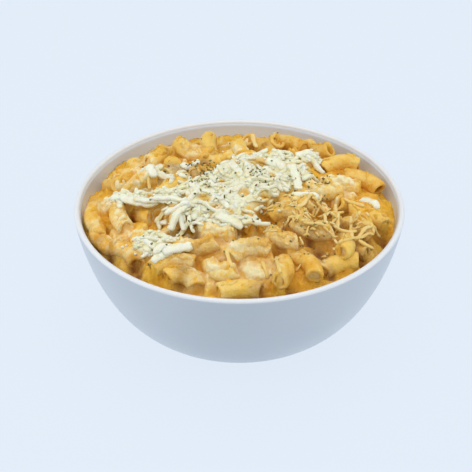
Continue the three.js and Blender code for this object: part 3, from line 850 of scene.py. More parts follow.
def coat_field(surface, sandy):
    """From 0, where the macaroni is bare, to 1, where pale sauce covers it."""
    value = hills(SAUCE_SEED, COAT_HILLS) + COAT_MEAN - GRID_X / 300 - BACK_LESS * step(GRID_Y, *BACK)
    value += PALE_MORE * patches(PALE_PIXELS, surface) - GOLD_LESS * patches(GOLD_PIXELS, surface)
    value += SANDY_MORE * sandy
    return step(value, *COAT_SPAN) * (1 - WALL_LESS * step(FROM_MIDDLE, *NEAR_WALL))


def hollow_fields(surface):
    """Depth of the hollows, and how much dark shade is painted in them and at the back of the heap."""
    shares = [blob(*hollow[:3], surface) for hollow in HOLLOW_PIXELS]
    depths = [hollow[3] * share for hollow, share in zip(HOLLOW_PIXELS, shares)]
    behind = BACK_SHADE * step(GRID_Y, *BACK_SHADE_SPAN)
    return np.max(depths, axis=0), np.maximum(np.max(shares, axis=0), behind)


def carve_mouths(field, elbows, coat):
    """Keeps the sauce out of the open ends of the tubes."""
    for elbow in elbows:
        if elbow.rise() < DROWNED_RISE:
            continue
        for share, way in TUBE_ENDS:
            end, _, tangent = elbow.centre(share)
            if sample(coat, end[0], end[1]) > MOUTH_COVERED:
                continue
            for distance in MOUTH_STEPS:
                x, y, z = end + way * distance * tangent
                cells, away = nearby(x, y, MOUTH_RADIUS)
                carved = np.minimum(field[cells], z - MOUTH_DEPTH + MOUTH_SLOPE * distance)
                field[cells] = np.where(away < MOUTH_RADIUS, carved, field[cells])


def add_ridge(field, cover, surface, held, place, size, tone):
    """Melts a strip onto the surface where something holds it, and marks its cover."""
    x, y, heading, curl = place
    length, width, height = size
    line_x, line_y = strip_path(x, y, heading, length, curl)
    z = drape(line_x, line_y, surface, width)
    for i, point in enumerate(zip(line_x, line_y, z)):
        radius = width * (0.5 + 0.12 * math.sin(1.3 * i + x))
        cells, away = nearby(point[0], point[1], radius)
        share = away / radius
        is_met = (share < 1) & (held[cells] > point[2] - RIDGE_HANG)
        raise_to(field, cells, point[2] + height * (1 - share**2), is_met)
        cover[cells] = np.maximum(cover[cells], np.where(is_met & (share < 0.95), tone, 0.0))


def melt_cheese(field, surface, held, coat, chance):
    """Melts strips over the macaroni and gives their cover."""
    cover = np.zeros(GRID_X.shape)
    for x, y, heading, length, width in MELTED_STRIPS:
        place = (x, y, math.radians(heading), chance.uniform(-0.6, 0.6))
        add_ridge(field, cover, surface, held, place, (length, width, MELTED_THICKNESS), 0.9)
    laid = 0
    while laid < RIDGE_COUNT:
        x, y = chance.uniform(-RIDGE_LIMIT - 1, RIDGE_LIMIT + 1, 2)
        wanted = 0.5 + 0.5 * float(sample(coat, x, y))
        is_out = math.hypot(x, y) > RIDGE_LIMIT
        if is_out or cheese_share(x, y) > 0.15 or chance.uniform() > wanted:
            continue
        strip = random_strip(x, y, RIDGE_CURL, RIDGE_SIZES, chance)
        add_ridge(field, cover, surface, held, *strip, chance.uniform(0, 1))
        laid += 1
    return smooth(cover, SOFTENING[0])


def sauce_field(elbows, coat, hollow, sandy, chance):
    """Height of the sauce, and how milky it is."""
    crevice = (CREVICE + BARE_CREVICE * (1 - coat)) * (1 - 0.8 * step(FROM_MIDDLE, *CREVICE_CLOSES))
    base = core_height(GRID_X, GRID_Y) - crevice - hollow
    base += LEFT_FILL * step(-GRID_X, *LEFT) + hills(SAUCE_SEED, BED_HILLS)
    naked = tube_tops(elbows)
    bare = np.clip(naked - BARE_DEPTH, base, base + BARE_CLIMB)
    filled = base + COAT_FILL * coat
    film = coat_tops(elbows, coat)
    coated = np.where(film > filled + 0.6, film, filled)
    field = bare + (coated - bare) * step(coat, *COAT_BLEND) - 0.3 * hollow
    moat = MOAT_DEPTH + GAP[2] * np.exp(-(((np.arctan2(GRID_Y, GRID_X) - GAP[0]) / GAP[1]) ** 2))
    field -= moat * step(FROM_MIDDLE, *MOAT)
    field = smooth(field, SOFTENING[0])
    carve_mouths(field, elbows, coat)
    field = smooth(field, SOFTENING[1])
    held = np.maximum(field, film)
    cover = melt_cheese(field, np.maximum(field, naked), held, coat, chance)
    field = smooth(field, SOFTENING[2]) + hills(SAUCE_SEED, TOP_HILLS)
    thick = step(field - smooth(naked, 1.0), 0.1, 2.4)
    milk = coat**2 * (0.3 + 0.5 * thick) + 0.8 * cover * (0.25 + 0.75 * coat)
    return field, np.clip(milk, 0, 1) * (1 - 0.8 * sandy)


def disc_places(count):
    """A square grid stretched evenly over a disc of radius 1."""
    line = np.linspace(-1, 1, count + 1)
    a, b = np.meshgrid(line, line, indexing="ij")
    wide = np.abs(a) > np.abs(b)
    with np.errstate(divide="ignore", invalid="ignore"):
        angle = np.where(wide, math.pi / 4 * b / a, math.pi / 2 - math.pi / 4 * a / b)
    radius = np.where(wide, a, b)
    angle = np.where((a == 0) & (b == 0), 0, angle)
    return radius * np.cos(angle), radius * np.sin(angle)


def grid_border(count):
    """Indices once round the border of the grid, anticlockwise."""
    n = count + 1
    bottom = [i * n for i in range(count)]
    right = [count * n + j for j in range(count)]
    top = [i * n + count for i in range(count, 0, -1)]
    left = [j for j in range(count, 0, -1)]
    return bottom + right + top + left


def sauce_mesh(field):
    """The sauce's face on a grid that fills the bowl, and its hidden side down to the floor."""
    wall = float(inner_radius(BED_CENTRE - BED_FALL)) + SAUCE_OVERLAP
    u, v = disc_places(SAUCE_GRID)
    x, y = u * wall, v * wall
    points = np.stack([x, y, sample(field, x, y)], -1).reshape(-1, 3)
    n = SAUCE_GRID + 1
    i, j = np.meshgrid(np.arange(SAUCE_GRID), np.arange(SAUCE_GRID), indexing="ij")
    corner = (i * n + j).ravel()
    faces = [tuple(face) for face in np.stack([corner, corner + n, corner + n + 1, corner + 1], -1)]
    last = grid_border(SAUCE_GRID)
    sides = len(last)
    angles = np.arctan2(points[last, 1], points[last, 0])
    for height in SKIRT_HEIGHTS:
        radius = float(inner_radius(height)) - SKIRT_CLEARANCE
        now = list(range(len(points), len(points) + sides))
        ring = np.stack([radius * np.cos(angles), radius * np.sin(angles), np.full(sides, height)], -1)
        points = np.concatenate([points, ring])
        faces += [(last[k], now[k], now[(k + 1) % sides], last[(k + 1) % sides]) for k in range(sides)]
        last = now
    foot = len(points)
    faces += [(last[k], foot, last[(k + 1) % sides]) for k in range(sides)]
    return np.concatenate([points, [[0, 0, FLOOR_HEIGHT + FLOOR_CLEARANCE]]]), faces


# ---- shreds ----


def drape(x, y, surface, width):
    """Heights at which a strip lies over the surface."""
    along = np.arctan2(np.gradient(y), np.gradient(x))
    side_x, side_y = -np.sin(along) * width * 0.3, np.cos(along) * width * 0.3
    support = sample(surface, x, y)
    for way in (-1, 1):
        support = np.maximum(support, sample(surface, x + way * side_x, y + way * side_y) - SIDE_DROOP)
    z = support.copy()
    for _ in range(DRAPE_PASSES):
        z[1:-1] = np.maximum(support[1:-1], (z[:-2] + z[2:]) / 2 - SHRED_SAG)
        z[0] = max(support[0], z[1] - END_DROOP)
        z[-1] = max(support[-1], z[-2] - END_DROOP)
    z[1:-1] = 0.5 * z[1:-1] + 0.25 * (z[:-2] + z[2:])
    return z


def strip_path(x, y, heading, length, curl):
    """Centreline of a strip through its middle, bending by curl radians from end to end."""
    count = max(5, int(length / SHRED_STEP) + 1)
    share = np.linspace(-0.5, 0.5, count)
    turn = heading + curl * share
    step_x = np.cos(turn) * length / (count - 1)
    step_y = np.sin(turn) * length / (count - 1)
    line_x, line_y = np.cumsum(step_x), np.cumsum(step_y)
    return x + line_x - line_x.mean(), y + line_y - line_y.mean()


SECTION = np.array(
    [(-1, -0.6), (-0.8, -1), (0.8, -1), (1, -0.6), (0.95, 0.55), (0.7, 1), (-0.7, 1), (-0.95, 0.55)]
)


def strip_mesh(x, y, z, width, thickness, chance):
    """A strip with a rounded section that narrows and wanders, closed at its ends."""
    count, sides = len(x), len(SECTION)
    points = np.stack([x, y, z + thickness * 0.45], -1)
    tangent = np.gradient(points, axis=0)
    tangent /= np.linalg.norm(tangent, axis=1)[:, None]
    side = np.cross([0, 0, 1], tangent)
    side /= np.linalg.norm(side, axis=1)[:, None]
    up = np.cross(tangent, side)
    roll = chance.uniform(-STRIP_ROLL, STRIP_ROLL)
    roll = roll + chance.uniform(-STRIP_TWIST, STRIP_TWIST) * np.linspace(-0.5, 0.5, count)
    cos, sin = np.cos(roll)[:, None], np.sin(roll)[:, None]
    side, up = side * cos + up * sin, up * cos - side * sin
    taper = np.ones(count)
    taper[0] = taper[-1] = chance.uniform(*END_TAPER)
    taper[1] = taper[-2] = NEXT_TAPER
    waver = 1 + STRIP_ROUGHNESS * chance.standard_normal((count, sides))
    wave = np.sin(np.arange(count) * chance.uniform(*STRIP_WAVE_RATES) + chance.uniform(0, 6))
    waver *= (1 + STRIP_WAVE * wave)[:, None]
    w = (width / 2) * taper[:, None] * waver * SECTION[:, 0]
    t = (thickness / 2) * taper[:, None] * waver * SECTION[:, 1]
    body = points[:, None, :] + w[:, :, None] * side[:, None, :] + t[:, :, None] * up[:, None, :]
    faces = ring_faces(count, sides)
    faces += [tuple(range(sides))[::-1], tuple(range((count - 1) * sides, count * sides))]
    return body.reshape(-1, 3), faces


class Pile:
    """Meshes gathered into one piece, with the values of its layers."""

    def __init__(self):
        self.points, self.faces, self.layers = [], [], {}
        self.total = 0

    def add(self, points, faces, **layers):
        self.points.append(points)
        self.faces += [tuple(corner + self.total for corner in face) for face in faces]
        for name, value in layers.items():
            filled = np.broadcast_to(np.asarray(value, float), (len(points),))
            self.layers.setdefault(name, []).append(filled)
        self.total += len(points)

    def arrays(self):
        layers = {name: np.concatenate(values) for name, values in self.layers.items()}
        return np.concatenate(self.points), self.faces, layers


def random_strip(x, y, curl, sizes, chance):
    """Place and size of a strip that lies any way round, bent by up to this curl."""
    place = (x, y, chance.uniform(0, math.pi), chance.uniform(-curl, curl))
    return place, [chance.uniform(*span) for span in sizes]


def lay_strip(pile, surface, place, size, chance, sink, keep=1.0, **layers):
    """Lays a strip over the surface, and raises the surface by it."""
    x, y, heading, curl = place
    length, width, thickness = size
    line_x, line_y = strip_path(x, y, heading, length, curl)
    if np.hypot(line_x, line_y).max() > RIM_RADIUS - LIP_THICKNESS - width:
        return
    z = drape(line_x, line_y, surface, width) - sink
    pile.add(*strip_mesh(line_x, line_y, z, width, thickness, chance), **layers)
    for point in zip(line_x, line_y, z):
        add_disc(surface, point, width * STRIP_COVER, point[2] + thickness * STRIP_RISE * keep)


# Where shreds lie scattered beyond the pads: centre, reach and how many
SCATTERED = [
    (-22, -31, 7, 34), (-6, -33, 6, 22), (4, -31, 5, 12), (-34, -20, 6, 12), (-60, -10, 6, 8),
    (26, 32, 6, 8), (-34, 8, 6, 8),
]


# Melted strips that show: place, heading in degrees, length and width
MELTED_STRIPS = [
    (50, 14, -70, 15, 9), (-47, 14, -60, 14, 6), (-41, 17, -20, 12, 6), (-64, -12, 10, 16, 7),
    (-4, -50, -60, 16, 8), (-1, -57, -75, 12, 7), (5, -64, -50, 15, 8), (18, -66, -75, 10, 6),
    (9, 52, -80, 14, 3), (-52, -33, 40, 14, 6), (-70, -22, 80, 12, 6),
]
# Thin strings that show, from one pixel of the photograph to another, and their width
STRANDS = [
    (323, 205, 327, 225, 1.8), (336, 204, 338, 236, 1.9), (351, 217, 352, 239, 1.8),
    (371, 223, 373, 246, 1.7), (334, 226, 357, 232, 1.7), (353, 238, 379, 243, 1.8),
    (312, 198, 344, 212, 2), (344, 199, 364, 207, 1.8), (338, 245, 372, 247, 1.7),
    (316, 217, 338, 213, 1.7), (298, 207, 322, 200, 1.9), (303, 223, 328, 227, 1.7),
    (252, 134, 257, 150, 2.4), (358, 246, 373, 258, 2.8), (148, 178, 150, 192, 2),
    (140, 176, 143, 190, 1.8), (226, 250, 232, 268, 1.8), (262, 262, 268, 280, 2),
    (276, 258, 280, 274, 1.8),
]
# Loose shreds that show: place, heading in degrees and length
LOOSE_SHREDS = [
    (-34.5, -57.5, 34, 17), (-30, -55.5, 24, 15), (-36, -55, 42, 13), (-29.7, -31, 52, 15),
    (-56, -11, -6, 18), (-50, -14, -8, 19), (-43.5, -15, -12, 20), (-35, -17, -10, 18),
    (-60, -7.5, -8, 13), (-31, -25, -20, 13), (-47.5, 14, -62, 18), (-40.8, 17, -15, 13),
    (4.5, 8, -88, 22), (20.3, 16, -38, 15), (28.5, 5, -78, 20), (37, 9, 44, 14), (33.4, -9, -8, 14),
    (39, 31, -44, 16), (36, 34, 20, 13), (66.8, -3.5, -55, 14), (74, -36, -72, 13), (-1.7, 10, -74, 18),
    (14, 18, -46, 13), (-26, 24, -40, 12), (-5, -37, -25, 14), (8, -36, 10, 14),
]


def melted_strands(surface, chance):
    """Thin strings of melted cheese over the macaroni, with short bits among them."""
    pile = Pile()
    for from_x, from_y, to_x, to_y, width in STRANDS:
        start = np.array(seen_place(from_x, from_y, surface))
        end = np.array(seen_place(to_x, to_y, surface))
        x, y = (start + end) / 2
        across, along = end - start
        place = (x, y, math.atan2(along, across), chance.uniform(-0.2, 0.2))
        size = (math.hypot(across, along), width, STRAND_THICKNESS)
        lay_strip(pile, surface, place, size, chance, 0.5, 0.8, tone=chance.uniform(0.1, 0.6))
    for _ in range(BIT_COUNT):
        x, y = np.array(BITS_MIDDLE) + BITS_REACH * chance.standard_normal(2)
        if cheese_share(x, y) > 0 or math.hypot(x, y) > BIT_LIMIT:
            continue
        strip = random_strip(x, y, SMALL_CURL, BIT_SIZES, chance)
        lay_strip(pile, surface, *strip, chance, 0.3, 0.8, tone=chance.uniform(0, 0.8))
    return pile.arrays()


def dip_share(x, y):
    """1 in the small hollows between the shreds, where yellow shade is painted, 0 elsewhere."""
    shares = [step(1 - np.hypot(x - dip_x, y - dip_y) / radius, 0, 0.5) for dip_x, dip_y, radius in DIPS]
    return np.max(shares, axis=0)


def smooth_share(x, y):
    """1 in the middle of the patch where the cheese has melted smooth, 0 far from it."""
    centre_x, centre_y, length, width, _ = SMOOTH_PATCH
    return np.exp(-(((x - centre_x) / length) ** 2) - ((y - centre_y) / width) ** 2)


def target_height(x, y):
    """How high the cheese lies."""
    rise = PAD_EDGE + PAD_RISE * np.sqrt(np.minimum(1, PAD_SLOPE * cheese_share(x, y)))
    return core_height(x, y) + rise - DIP_DEPTH * dip_share(x, y)


def lowest_place(pad, surface, chance):
    """Of a few random places on the pad, the one that lacks most cheese, and what it lacks."""
    places = [pad.random_place(chance) for _ in range(SHRED_TRIALS)]
    lacks = [float(target_height(x, y) - sample(surface, x, y)) for x, y in places]
    best = int(np.argmax(lacks))
    return (*places[best], lacks[best])


def add_pad_shred(pile, pad, surface, chance):
    """Lays a shred where the pad lacks one, if it would stay on the pad."""
    x, y, lack = lowest_place(pad, surface, chance)
    bare = max(0.9 * dip_share(x, y), 0.75 * smooth_share(x, y))
    if lack < -0.7 or chance.uniform() < bare:
        return
    kind = chance.choice(3, p=SHRED_SHARES)
    length = chance.uniform(*SHRED_LENGTHS[kind])
    width = chance.uniform(*SHRED_WIDTHS)
    heading, curl = chance.uniform(0, math.pi), chance.uniform(-SHRED_CURL, SHRED_CURL)
    if kind > 0 and cheese_share(*strip_path(x, y, heading, length, curl)).min() <= 0.02:
        return
    size = (length, width, chance.uniform(*SHRED_THICKNESS))
    lay_strip(pile, surface, (x, y, heading, curl), size, chance, 0.4, tone=chance.uniform())


def shredded_cheese(surface, chance):
    pile = Pile()
    for pad, count in zip(PADS, SHRED_COUNTS):
        for _ in range(count):
            add_pad_shred(pile, pad, surface, chance)
    for centre_x, centre_y, reach, count in SCATTERED:
        for _ in range(count):
            x, y = np.array([centre_x, centre_y]) + reach * 0.6 * chance.standard_normal(2)
            strip = random_strip(x, y, SMALL_CURL, SMALL_SIZES, chance)
            lay_strip(pile, surface, *strip, chance, 0.5, tone=chance.uniform(0, 0.9))
    for x, y, heading, length in LOOSE_SHREDS:
        place = (x, y, math.radians(heading), chance.uniform(-LOOSE_CURL, LOOSE_CURL))
        size = (length, chance.uniform(*LOOSE_WIDTHS), chance.uniform(*LOOSE_THICKNESS))
        lay_strip(pile, surface, place, size, chance, 0.3, tone=chance.uniform(0.6, 1))
    return pile.arrays()


def cheese_base(surface):
    """Height of the soft cheese that fills the gaps between the shreds."""
    fill = smooth(surface, 1.3) - BASE_DEPTH + SMOOTH_PATCH[4] * smooth_share(GRID_X, GRID_Y)
    return fill + hills(SHRED_SEED, CHEESE_HILLS)


def pad_body(pad, fill, floor):
    """A closed lump over the pad that dips below its surroundings along its outline."""
    rings = max(8, int(pad.length / BASE_RING))
    sides = max(40, int(2 * math.pi * pad.length / BASE_SIDE))
    angles = 2 * math.pi * np.arange(sides) / sides
    rows = []
    for ring in range(1, rings + 1):
        x, y = pad.place(angles, ring / rings)
        edge = step(ring / rings, *BASE_FALL)
        z = sample(fill, x, y) * (1 - edge) + (sample(floor, x, y) - 1.0) * edge
        rows.append(np.stack([x, y, z], -1))
    rows.append(rows[-1] - [0, 0, 1.5])
    sauced = np.repeat(step(np.arange(1, rings + 2) / rings, *BASE_SAUCED), sides)
    middle = [pad.x, pad.y, float(sample(fill, pad.x, pad.y))]
    bottom = [pad.x, pad.y, float(core_height(pad.x, pad.y)) - 4]
    faces = ring_faces(rings + 1, sides, is_flipped=True)
    top, first_under = len(rows) * sides, rings * sides
    for i in range(sides):
        j = (i + 1) % sides
        faces += [(top, i, j), (first_under + i, top + 1, first_under + j)]
    return np.concatenate([*rows, [middle, bottom]]), faces, np.append(sauced, [0, 1])


# ---- crumbs and herbs ----


def ground(*meshes):
    points, faces, first = [], [], 0
    for mesh in meshes:
        points.append(mesh[0])
        faces += [tuple(corner + first for corner in face) for face in mesh[1]]
        first += len(mesh[0])
    return BVHTree.FromPolygons(np.concatenate(points).tolist(), faces)


def struck(tree, start, way):
    """Where a ray first meets the food, and the slope there."""
    place, normal, _, _ = tree.ray_cast(Vector(start), Vector(way))
    if place is None:
        return None
    normal = normal if normal.dot(Vector(way)) < 0 else -normal
    return np.array(place), np.array(normal)


def landing(tree, x, y):
    """Where something dropped here lands, and the slope there."""
    return struck(tree, (x, y, 2 * BOWL_HEIGHT), (0, 0, -1))


def sighted(tree, pixel_x, pixel_y):
    """Where the line of sight through this pixel lands, and the slope there."""
    return struck(tree, EYE, line_of_sight(pixel_x, pixel_y))


def upright_axes(normal, angle):
    """Two directions across a slope, the first turned by this angle."""
    side = np.cross(normal, [math.cos(angle), math.sin(angle), 0.01])
    side /= np.linalg.norm(side)
    return side, np.cross(normal, side)


# Herbs that show, in pixels of the photograph, and their radius
HERB_PIXELS = [
    (191.8, 164.8, 0.8), (194.4, 170.9, 1), (185.7, 174.7, 0.9), (201.5, 179.6, 0.7), (206.6, 174, 0.7),
    (217, 179, 0.8), (201, 190.3, 0.7), (194.9, 193.9, 0.8), (182.7, 197.4, 0.9), (224, 196.9, 1),
    (216.8, 198.5, 0.7), (230, 190.8, 0.6), (207.7, 209.7, 0.9), (189, 221.5, 0.9), (150.5, 200, 0.6),
    (142.9, 167.3, 0.7), (201.5, 139, 0.6), (230, 143.9, 0.7), (171.4, 202.5, 0.5), (176, 190, 0.6),
    (248, 133, 0.8), (277.6, 132.9, 0.7), (284, 160.8, 0.6), (290, 160.8, 0.6), (271.8, 160.8, 0.6),
    (257.6, 167.6, 0.9), (264.5, 169.7, 0.8), (259.7, 171.5, 0.7), (265.5, 180.8, 1),
    (259.7, 180.3, 0.6), (251.3, 180.8, 0.6), (236, 172.9, 0.8), (289.7, 176.6, 1), (317, 177.6, 0.9),
    (304.5, 180.8, 0.7), (309, 187, 0.7), (328, 184, 1), (327.6, 176, 0.7), (291.3, 195.5, 0.7),
    (295, 191, 0.6), (242.9, 196.6, 0.7), (241.8, 206.6, 0.9), (260.8, 200, 0.6), (274.5, 202.9, 0.9),
    (280, 206, 0.7), (322, 198.7, 0.7), (327, 198.7, 0.6), (314.5, 207, 0.8), (307.6, 209, 0.7),
    (191.8, 232.7, 0.9), (179, 235.7, 0.8), (166.3, 244.9, 0.7), (151.5, 243.9, 0.8), (153, 249.5, 0.8),
    (185.2, 252, 0.8), (149, 264.5, 0.8), (224.5, 251.5, 0.7), (233.2, 240.8, 0.7), (252.4, 219.5, 0.6),
    (276, 224, 0.8), (289, 225.8, 0.8), (313.9, 225.3, 1), (307.6, 235.8, 0.9), (319, 237, 0.7),
    (324, 236, 0.6), (290.8, 241, 0.7), (302.4, 246.3, 0.6),
]
# Where the finer herbs lie, in pixels: centre, reach in millimetres and how many
HERB_CLUSTERS = [
    (188, 166, 6, 34), (203, 172, 7, 60), (200, 182, 6, 30), (212, 163, 6, 20), (259, 173, 6, 26),
    (225, 188, 16, 8), (290, 185, 14, 6), (318, 190, 12, 8), (308, 234, 12, 30), (280, 228, 12, 24),
    (318, 180, 8, 14), (190, 228, 8, 5), (238, 200, 50, 14),
]


def herb_flake(place, normal, size, chance):
    """A thin curled scrap with an uneven outline."""
    stretch = chance.uniform(*HERB_WIDTHS)
    side, other = upright_axes(normal, chance.uniform(0, 2 * math.pi))
    tilt = chance.uniform(-HERB_TILT, HERB_TILT)
    lifted = other * math.cos(tilt) + normal * math.sin(tilt)
    over = np.cross(side, lifted)
    uneven = chance.uniform(-0.3, 0.3, HERB_SIDES)
    angles = 2 * math.pi * (np.arange(HERB_SIDES) + uneven) / HERB_SIDES
    reach = size * chance.uniform(*HERB_REACHES, HERB_SIDES)[:, None]
    flat = reach * (np.cos(angles)[:, None] * side + stretch * np.sin(angles)[:, None] * lifted)
    curl = HERB_CURL * size * (np.cos(angles) ** 2)[:, None] * over
    thick = HERB_THICKNESS * np.sign(over[2] or 1) * over
    rim = place + normal * (0.12 + 0.3 * abs(math.sin(tilt)) * size) + flat + curl
    faces = [tuple(range(HERB_SIDES)), tuple(range(2 * HERB_SIDES - 1, HERB_SIDES - 1, -1))]
    for k in range(HERB_SIDES):
        m = (k + 1) % HERB_SIDES
        faces.append((m, k, HERB_SIDES + k, HERB_SIDES + m))
    return np.concatenate([rim + thick, rim - thick]), faces


def herbs(tree, chance):
    pile = Pile()
    for pixel_x, pixel_y, size in HERB_PIXELS:
        spot = sighted(tree, pixel_x, pixel_y)
        if spot is not None:
            flake = herb_flake(*spot, size * chance.uniform(0.85, 1.1), chance)
            pile.add(*flake, tone=chance.uniform(0, 0.6))
    for pixel_x, pixel_y, reach, count in HERB_CLUSTERS:
        middle = sighted(tree, pixel_x, pixel_y)[0]
        for _ in range(count):
            x, y = middle[:2] + reach * 0.6 * chance.standard_normal(2)
            spot = landing(tree, x, y) if math.hypot(x, y) < HERB_LIMIT else None
            if spot is not None:
                flake = herb_flake(*spot, chance.uniform(*FINE_HERBS), chance)
                pile.add(*flake, tone=chance.uniform(0.2, 1))
    return pile.arrays()


GOLD = (1 + math.sqrt(5)) / 2
CORNERS = [(s, t * GOLD) for s in (-1, 1) for t in (-1, 1)]
CRUMB_POINTS = np.array(
    [(0, a, b) for a, b in CORNERS] + [(a, b, 0) for a, b in CORNERS] + [(b, 0, a) for a, b in CORNERS]
)
CRUMB_POINTS /= np.linalg.norm(CRUMB_POINTS[0])


def crumb_faces():
    """The 20 faces of the crumb's blank: every three corners that lie next to each other."""
    edge = 2 / math.sqrt(1 + GOLD**2)
    near = np.abs(np.linalg.norm(CRUMB_POINTS[:, None] - CRUMB_POINTS[None], axis=2) - edge) < 0.01
    faces = []
    for i, j, k in combinations(range(len(CRUMB_POINTS)), 3):
        if near[i, j] and near[j, k] and near[i, k]:
            a, b, c = CRUMB_POINTS[[i, j, k]]
            faces.append((i, j, k) if np.dot(np.cross(b - a, c - a), a) > 0 else (i, k, j))
    return faces


def crumbs(tree, chance):
    pile = Pile()
    faces = crumb_faces()
    while len(pile.points) < CRUMB_COUNT:
        pad = PADS[chance.choice(len(PADS), p=CRUMB_SHARES)]
        reach, angle = chance.uniform(*CRUMB_REACH), chance.uniform(0, 2 * math.pi)
        x = pad.x + pad.length * reach * math.cos(angle)
        y = pad.y + pad.width * reach * math.sin(angle)
        spot = landing(tree, x, y)
        if spot is None or math.hypot(x, y) > CRUMB_LIMIT:
            continue
        size = chance.uniform(*CRUMB_SIZES) * np.array([chance.uniform(*CRUMB_LENGTHS), 1, 0.8])
        turn = chance.uniform(0, math.pi)
        bits = CRUMB_POINTS * size * chance.uniform(*CRUMB_UNEVEN, (len(CRUMB_POINTS), 1))
        cos, sin = math.cos(turn), math.sin(turn)
        bits = bits @ np.array([(cos, sin, 0), (-sin, cos, 0), (0, 0, 1)])
        pile.add(bits + spot[0] + spot[1] * 0.25, faces, tone=chance.uniform(0.3, 1))
    return pile.arrays()


# ---- pieces ----


def piece(name, arrays, material, is_smooth=True):
    points, faces, layers = arrays
    mesh = bpy.data.meshes.new(name)
    mesh.from_pydata((np.asarray(points) * MM).tolist(), [], faces)
    for layer, values in layers.items():
        attribute = mesh.attributes.new(layer, "FLOAT", "POINT")
        attribute.data.foreach_set("value", np.asarray(values, np.float32))
    mesh.polygons.foreach_set("use_smooth", [is_smooth] * len(mesh.polygons))
    mesh.update()
    mesh.materials.append(material)
    thing = bpy.data.objects.new(name, mesh)
    bpy.context.scene.collection.objects.link(thing)
    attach(thing, "root")
    return thing


# ---- materials ----


def colour(red, green, blue):
    """A colour given as it shows on a screen, from 0 to 255."""
    def linear(value):
        value /= 255
        return value / 12.92 if value <= 0.04045 else ((value + 0.055) / 1.055) ** 2.4

    return (linear(red), linear(green), linear(blue), 1.0)


def set_inputs(node, **values):
    """Sets a node's sockets by their names, with _ for a space."""
    for name, value in values.items():
        node.inputs[name.replace("_", " ")].default_value = value


class Look:
    """A material, built node by node."""

    def __init__(self, name):
        self.material = bpy.data.materials.new(name)
        self.material.use_nodes = True
        self.nodes = self.material.node_tree.nodes
        self.links = self.material.node_tree.links
        self.shader = self.nodes["Principled BSDF"]
        self.place = self.nodes.new("ShaderNodeTexCoord").outputs["Object"]

    def put(self, socket, value):
        if isinstance(value, bpy.types.NodeSocket):
            self.links.new(value, socket)
        else:
            socket.default_value = value

    def attribute(self, name, weight=1.0):
        """An attribute of the mesh, weakened by the weight."""
        node = self.nodes.new("ShaderNodeAttribute")
        node.attribute_name = name
        value = node.outputs["Fac"]
        return self.math("MULTIPLY", value, weight) if weight < 1 else value

    def noise(self, size, detail, roughness=0.55):
        """A cloudy value with hills about this many millimetres apart."""
        node = self.nodes.new("ShaderNodeTexNoise")
        self.links.new(self.place, node.inputs["Vector"])
        set_inputs(node, Scale=1 / (size * MM), Detail=detail, Roughness=roughness)
        return node.outputs["Fac"]

    def between(self, value, low, high, to_low=0.0, to_high=1.0):
        node = self.nodes.new("ShaderNodeMapRange")
        node.interpolation_type = "SMOOTHSTEP"
        self.links.new(value, node.inputs["Value"])
        set_inputs(node, From_Min=low, From_Max=high, To_Min=to_low, To_Max=to_high)
        return node.outputs["Result"]

    def math(self, operation, a, b):
        node = self.nodes.new("ShaderNodeMath")
        node.operation = operation
        node.use_clamp = True
        self.put(node.inputs[0], a)
        self.put(node.inputs[1], b)
        return node.outputs[0]

    def mix(self, share, a, b):
        node = self.nodes.new("ShaderNodeMix")
        node.data_type = "RGBA"
        self.put(node.inputs["Factor"], share)
        self.put(node.inputs[6], a)
        self.put(node.inputs[7], b)
        return node.outputs[2]

    def tint(self, base, name, weight, *tone):
        """The base, turned towards this colour where the attribute is high."""
        return self.mix(self.attribute(name, weight), base, colour(*tone))

    def bump(self, height, distance, before=None):
        node = self.nodes.new("ShaderNodeBump")
        set_inputs(node, Distance=distance * MM)
        self.links.new(height, node.inputs["Height"])
        if before is not None:
            self.links.new(before, node.inputs["Normal"])
        return node.outputs["Normal"]

    def finish(self, base, roughness, normal, gloss):
        self.put(self.shader.inputs["Base Color"], base)
        self.put(self.shader.inputs["Roughness"], roughness)
        self.put(self.shader.inputs["Normal"], normal)
        set_inputs(self.shader, Specular_IOR_Level=gloss)
        return self.material

    def soften(self, weight, scale):
        """Lets light sink into the surface, as it does into food."""
        radius = (0.0020, 0.0015, 0.0008)
        set_inputs(self.shader, Subsurface_Weight=weight, Subsurface_Scale=scale, Subsurface_Radius=radius)


def glaze_look():
    look = Look("white_glaze")
    mottle = look.between(look.noise(30, 0), 0, 1)
    inner = look.mix(mottle, colour(211, 218, 228), colour(216, 222, 232))
    # Painted shade: the outside of the wall is given a darker, greyer white than the inside.
    shaded_outer = look.mix(mottle, colour(192, 200, 208), colour(197, 204, 212))
    base = look.mix(look.attribute("outside"), inner, shaded_outer)
    # Painted highlight: whiter along the rim.
    base = look.tint(base, "rim_highlight", 1, 228, 230, 232)
    roughness = look.between(look.noise(20, 0), 0, 1, 0.27, 0.35)
    return look.finish(base, roughness, look.bump(look.noise(24, 0), 0.15), 0.35)


def sandy_tone(look, base):
    """Mottles the base with grains of dark and pale gold where the sauce is sandy."""
    grain = look.between(look.noise(1.4, 3, 0.6), 0.38, 0.6)
    tone = look.mix(grain, colour(190, 134, 52), colour(230, 190, 108))
    return look.mix(look.attribute("sand", 0.5), base, tone)


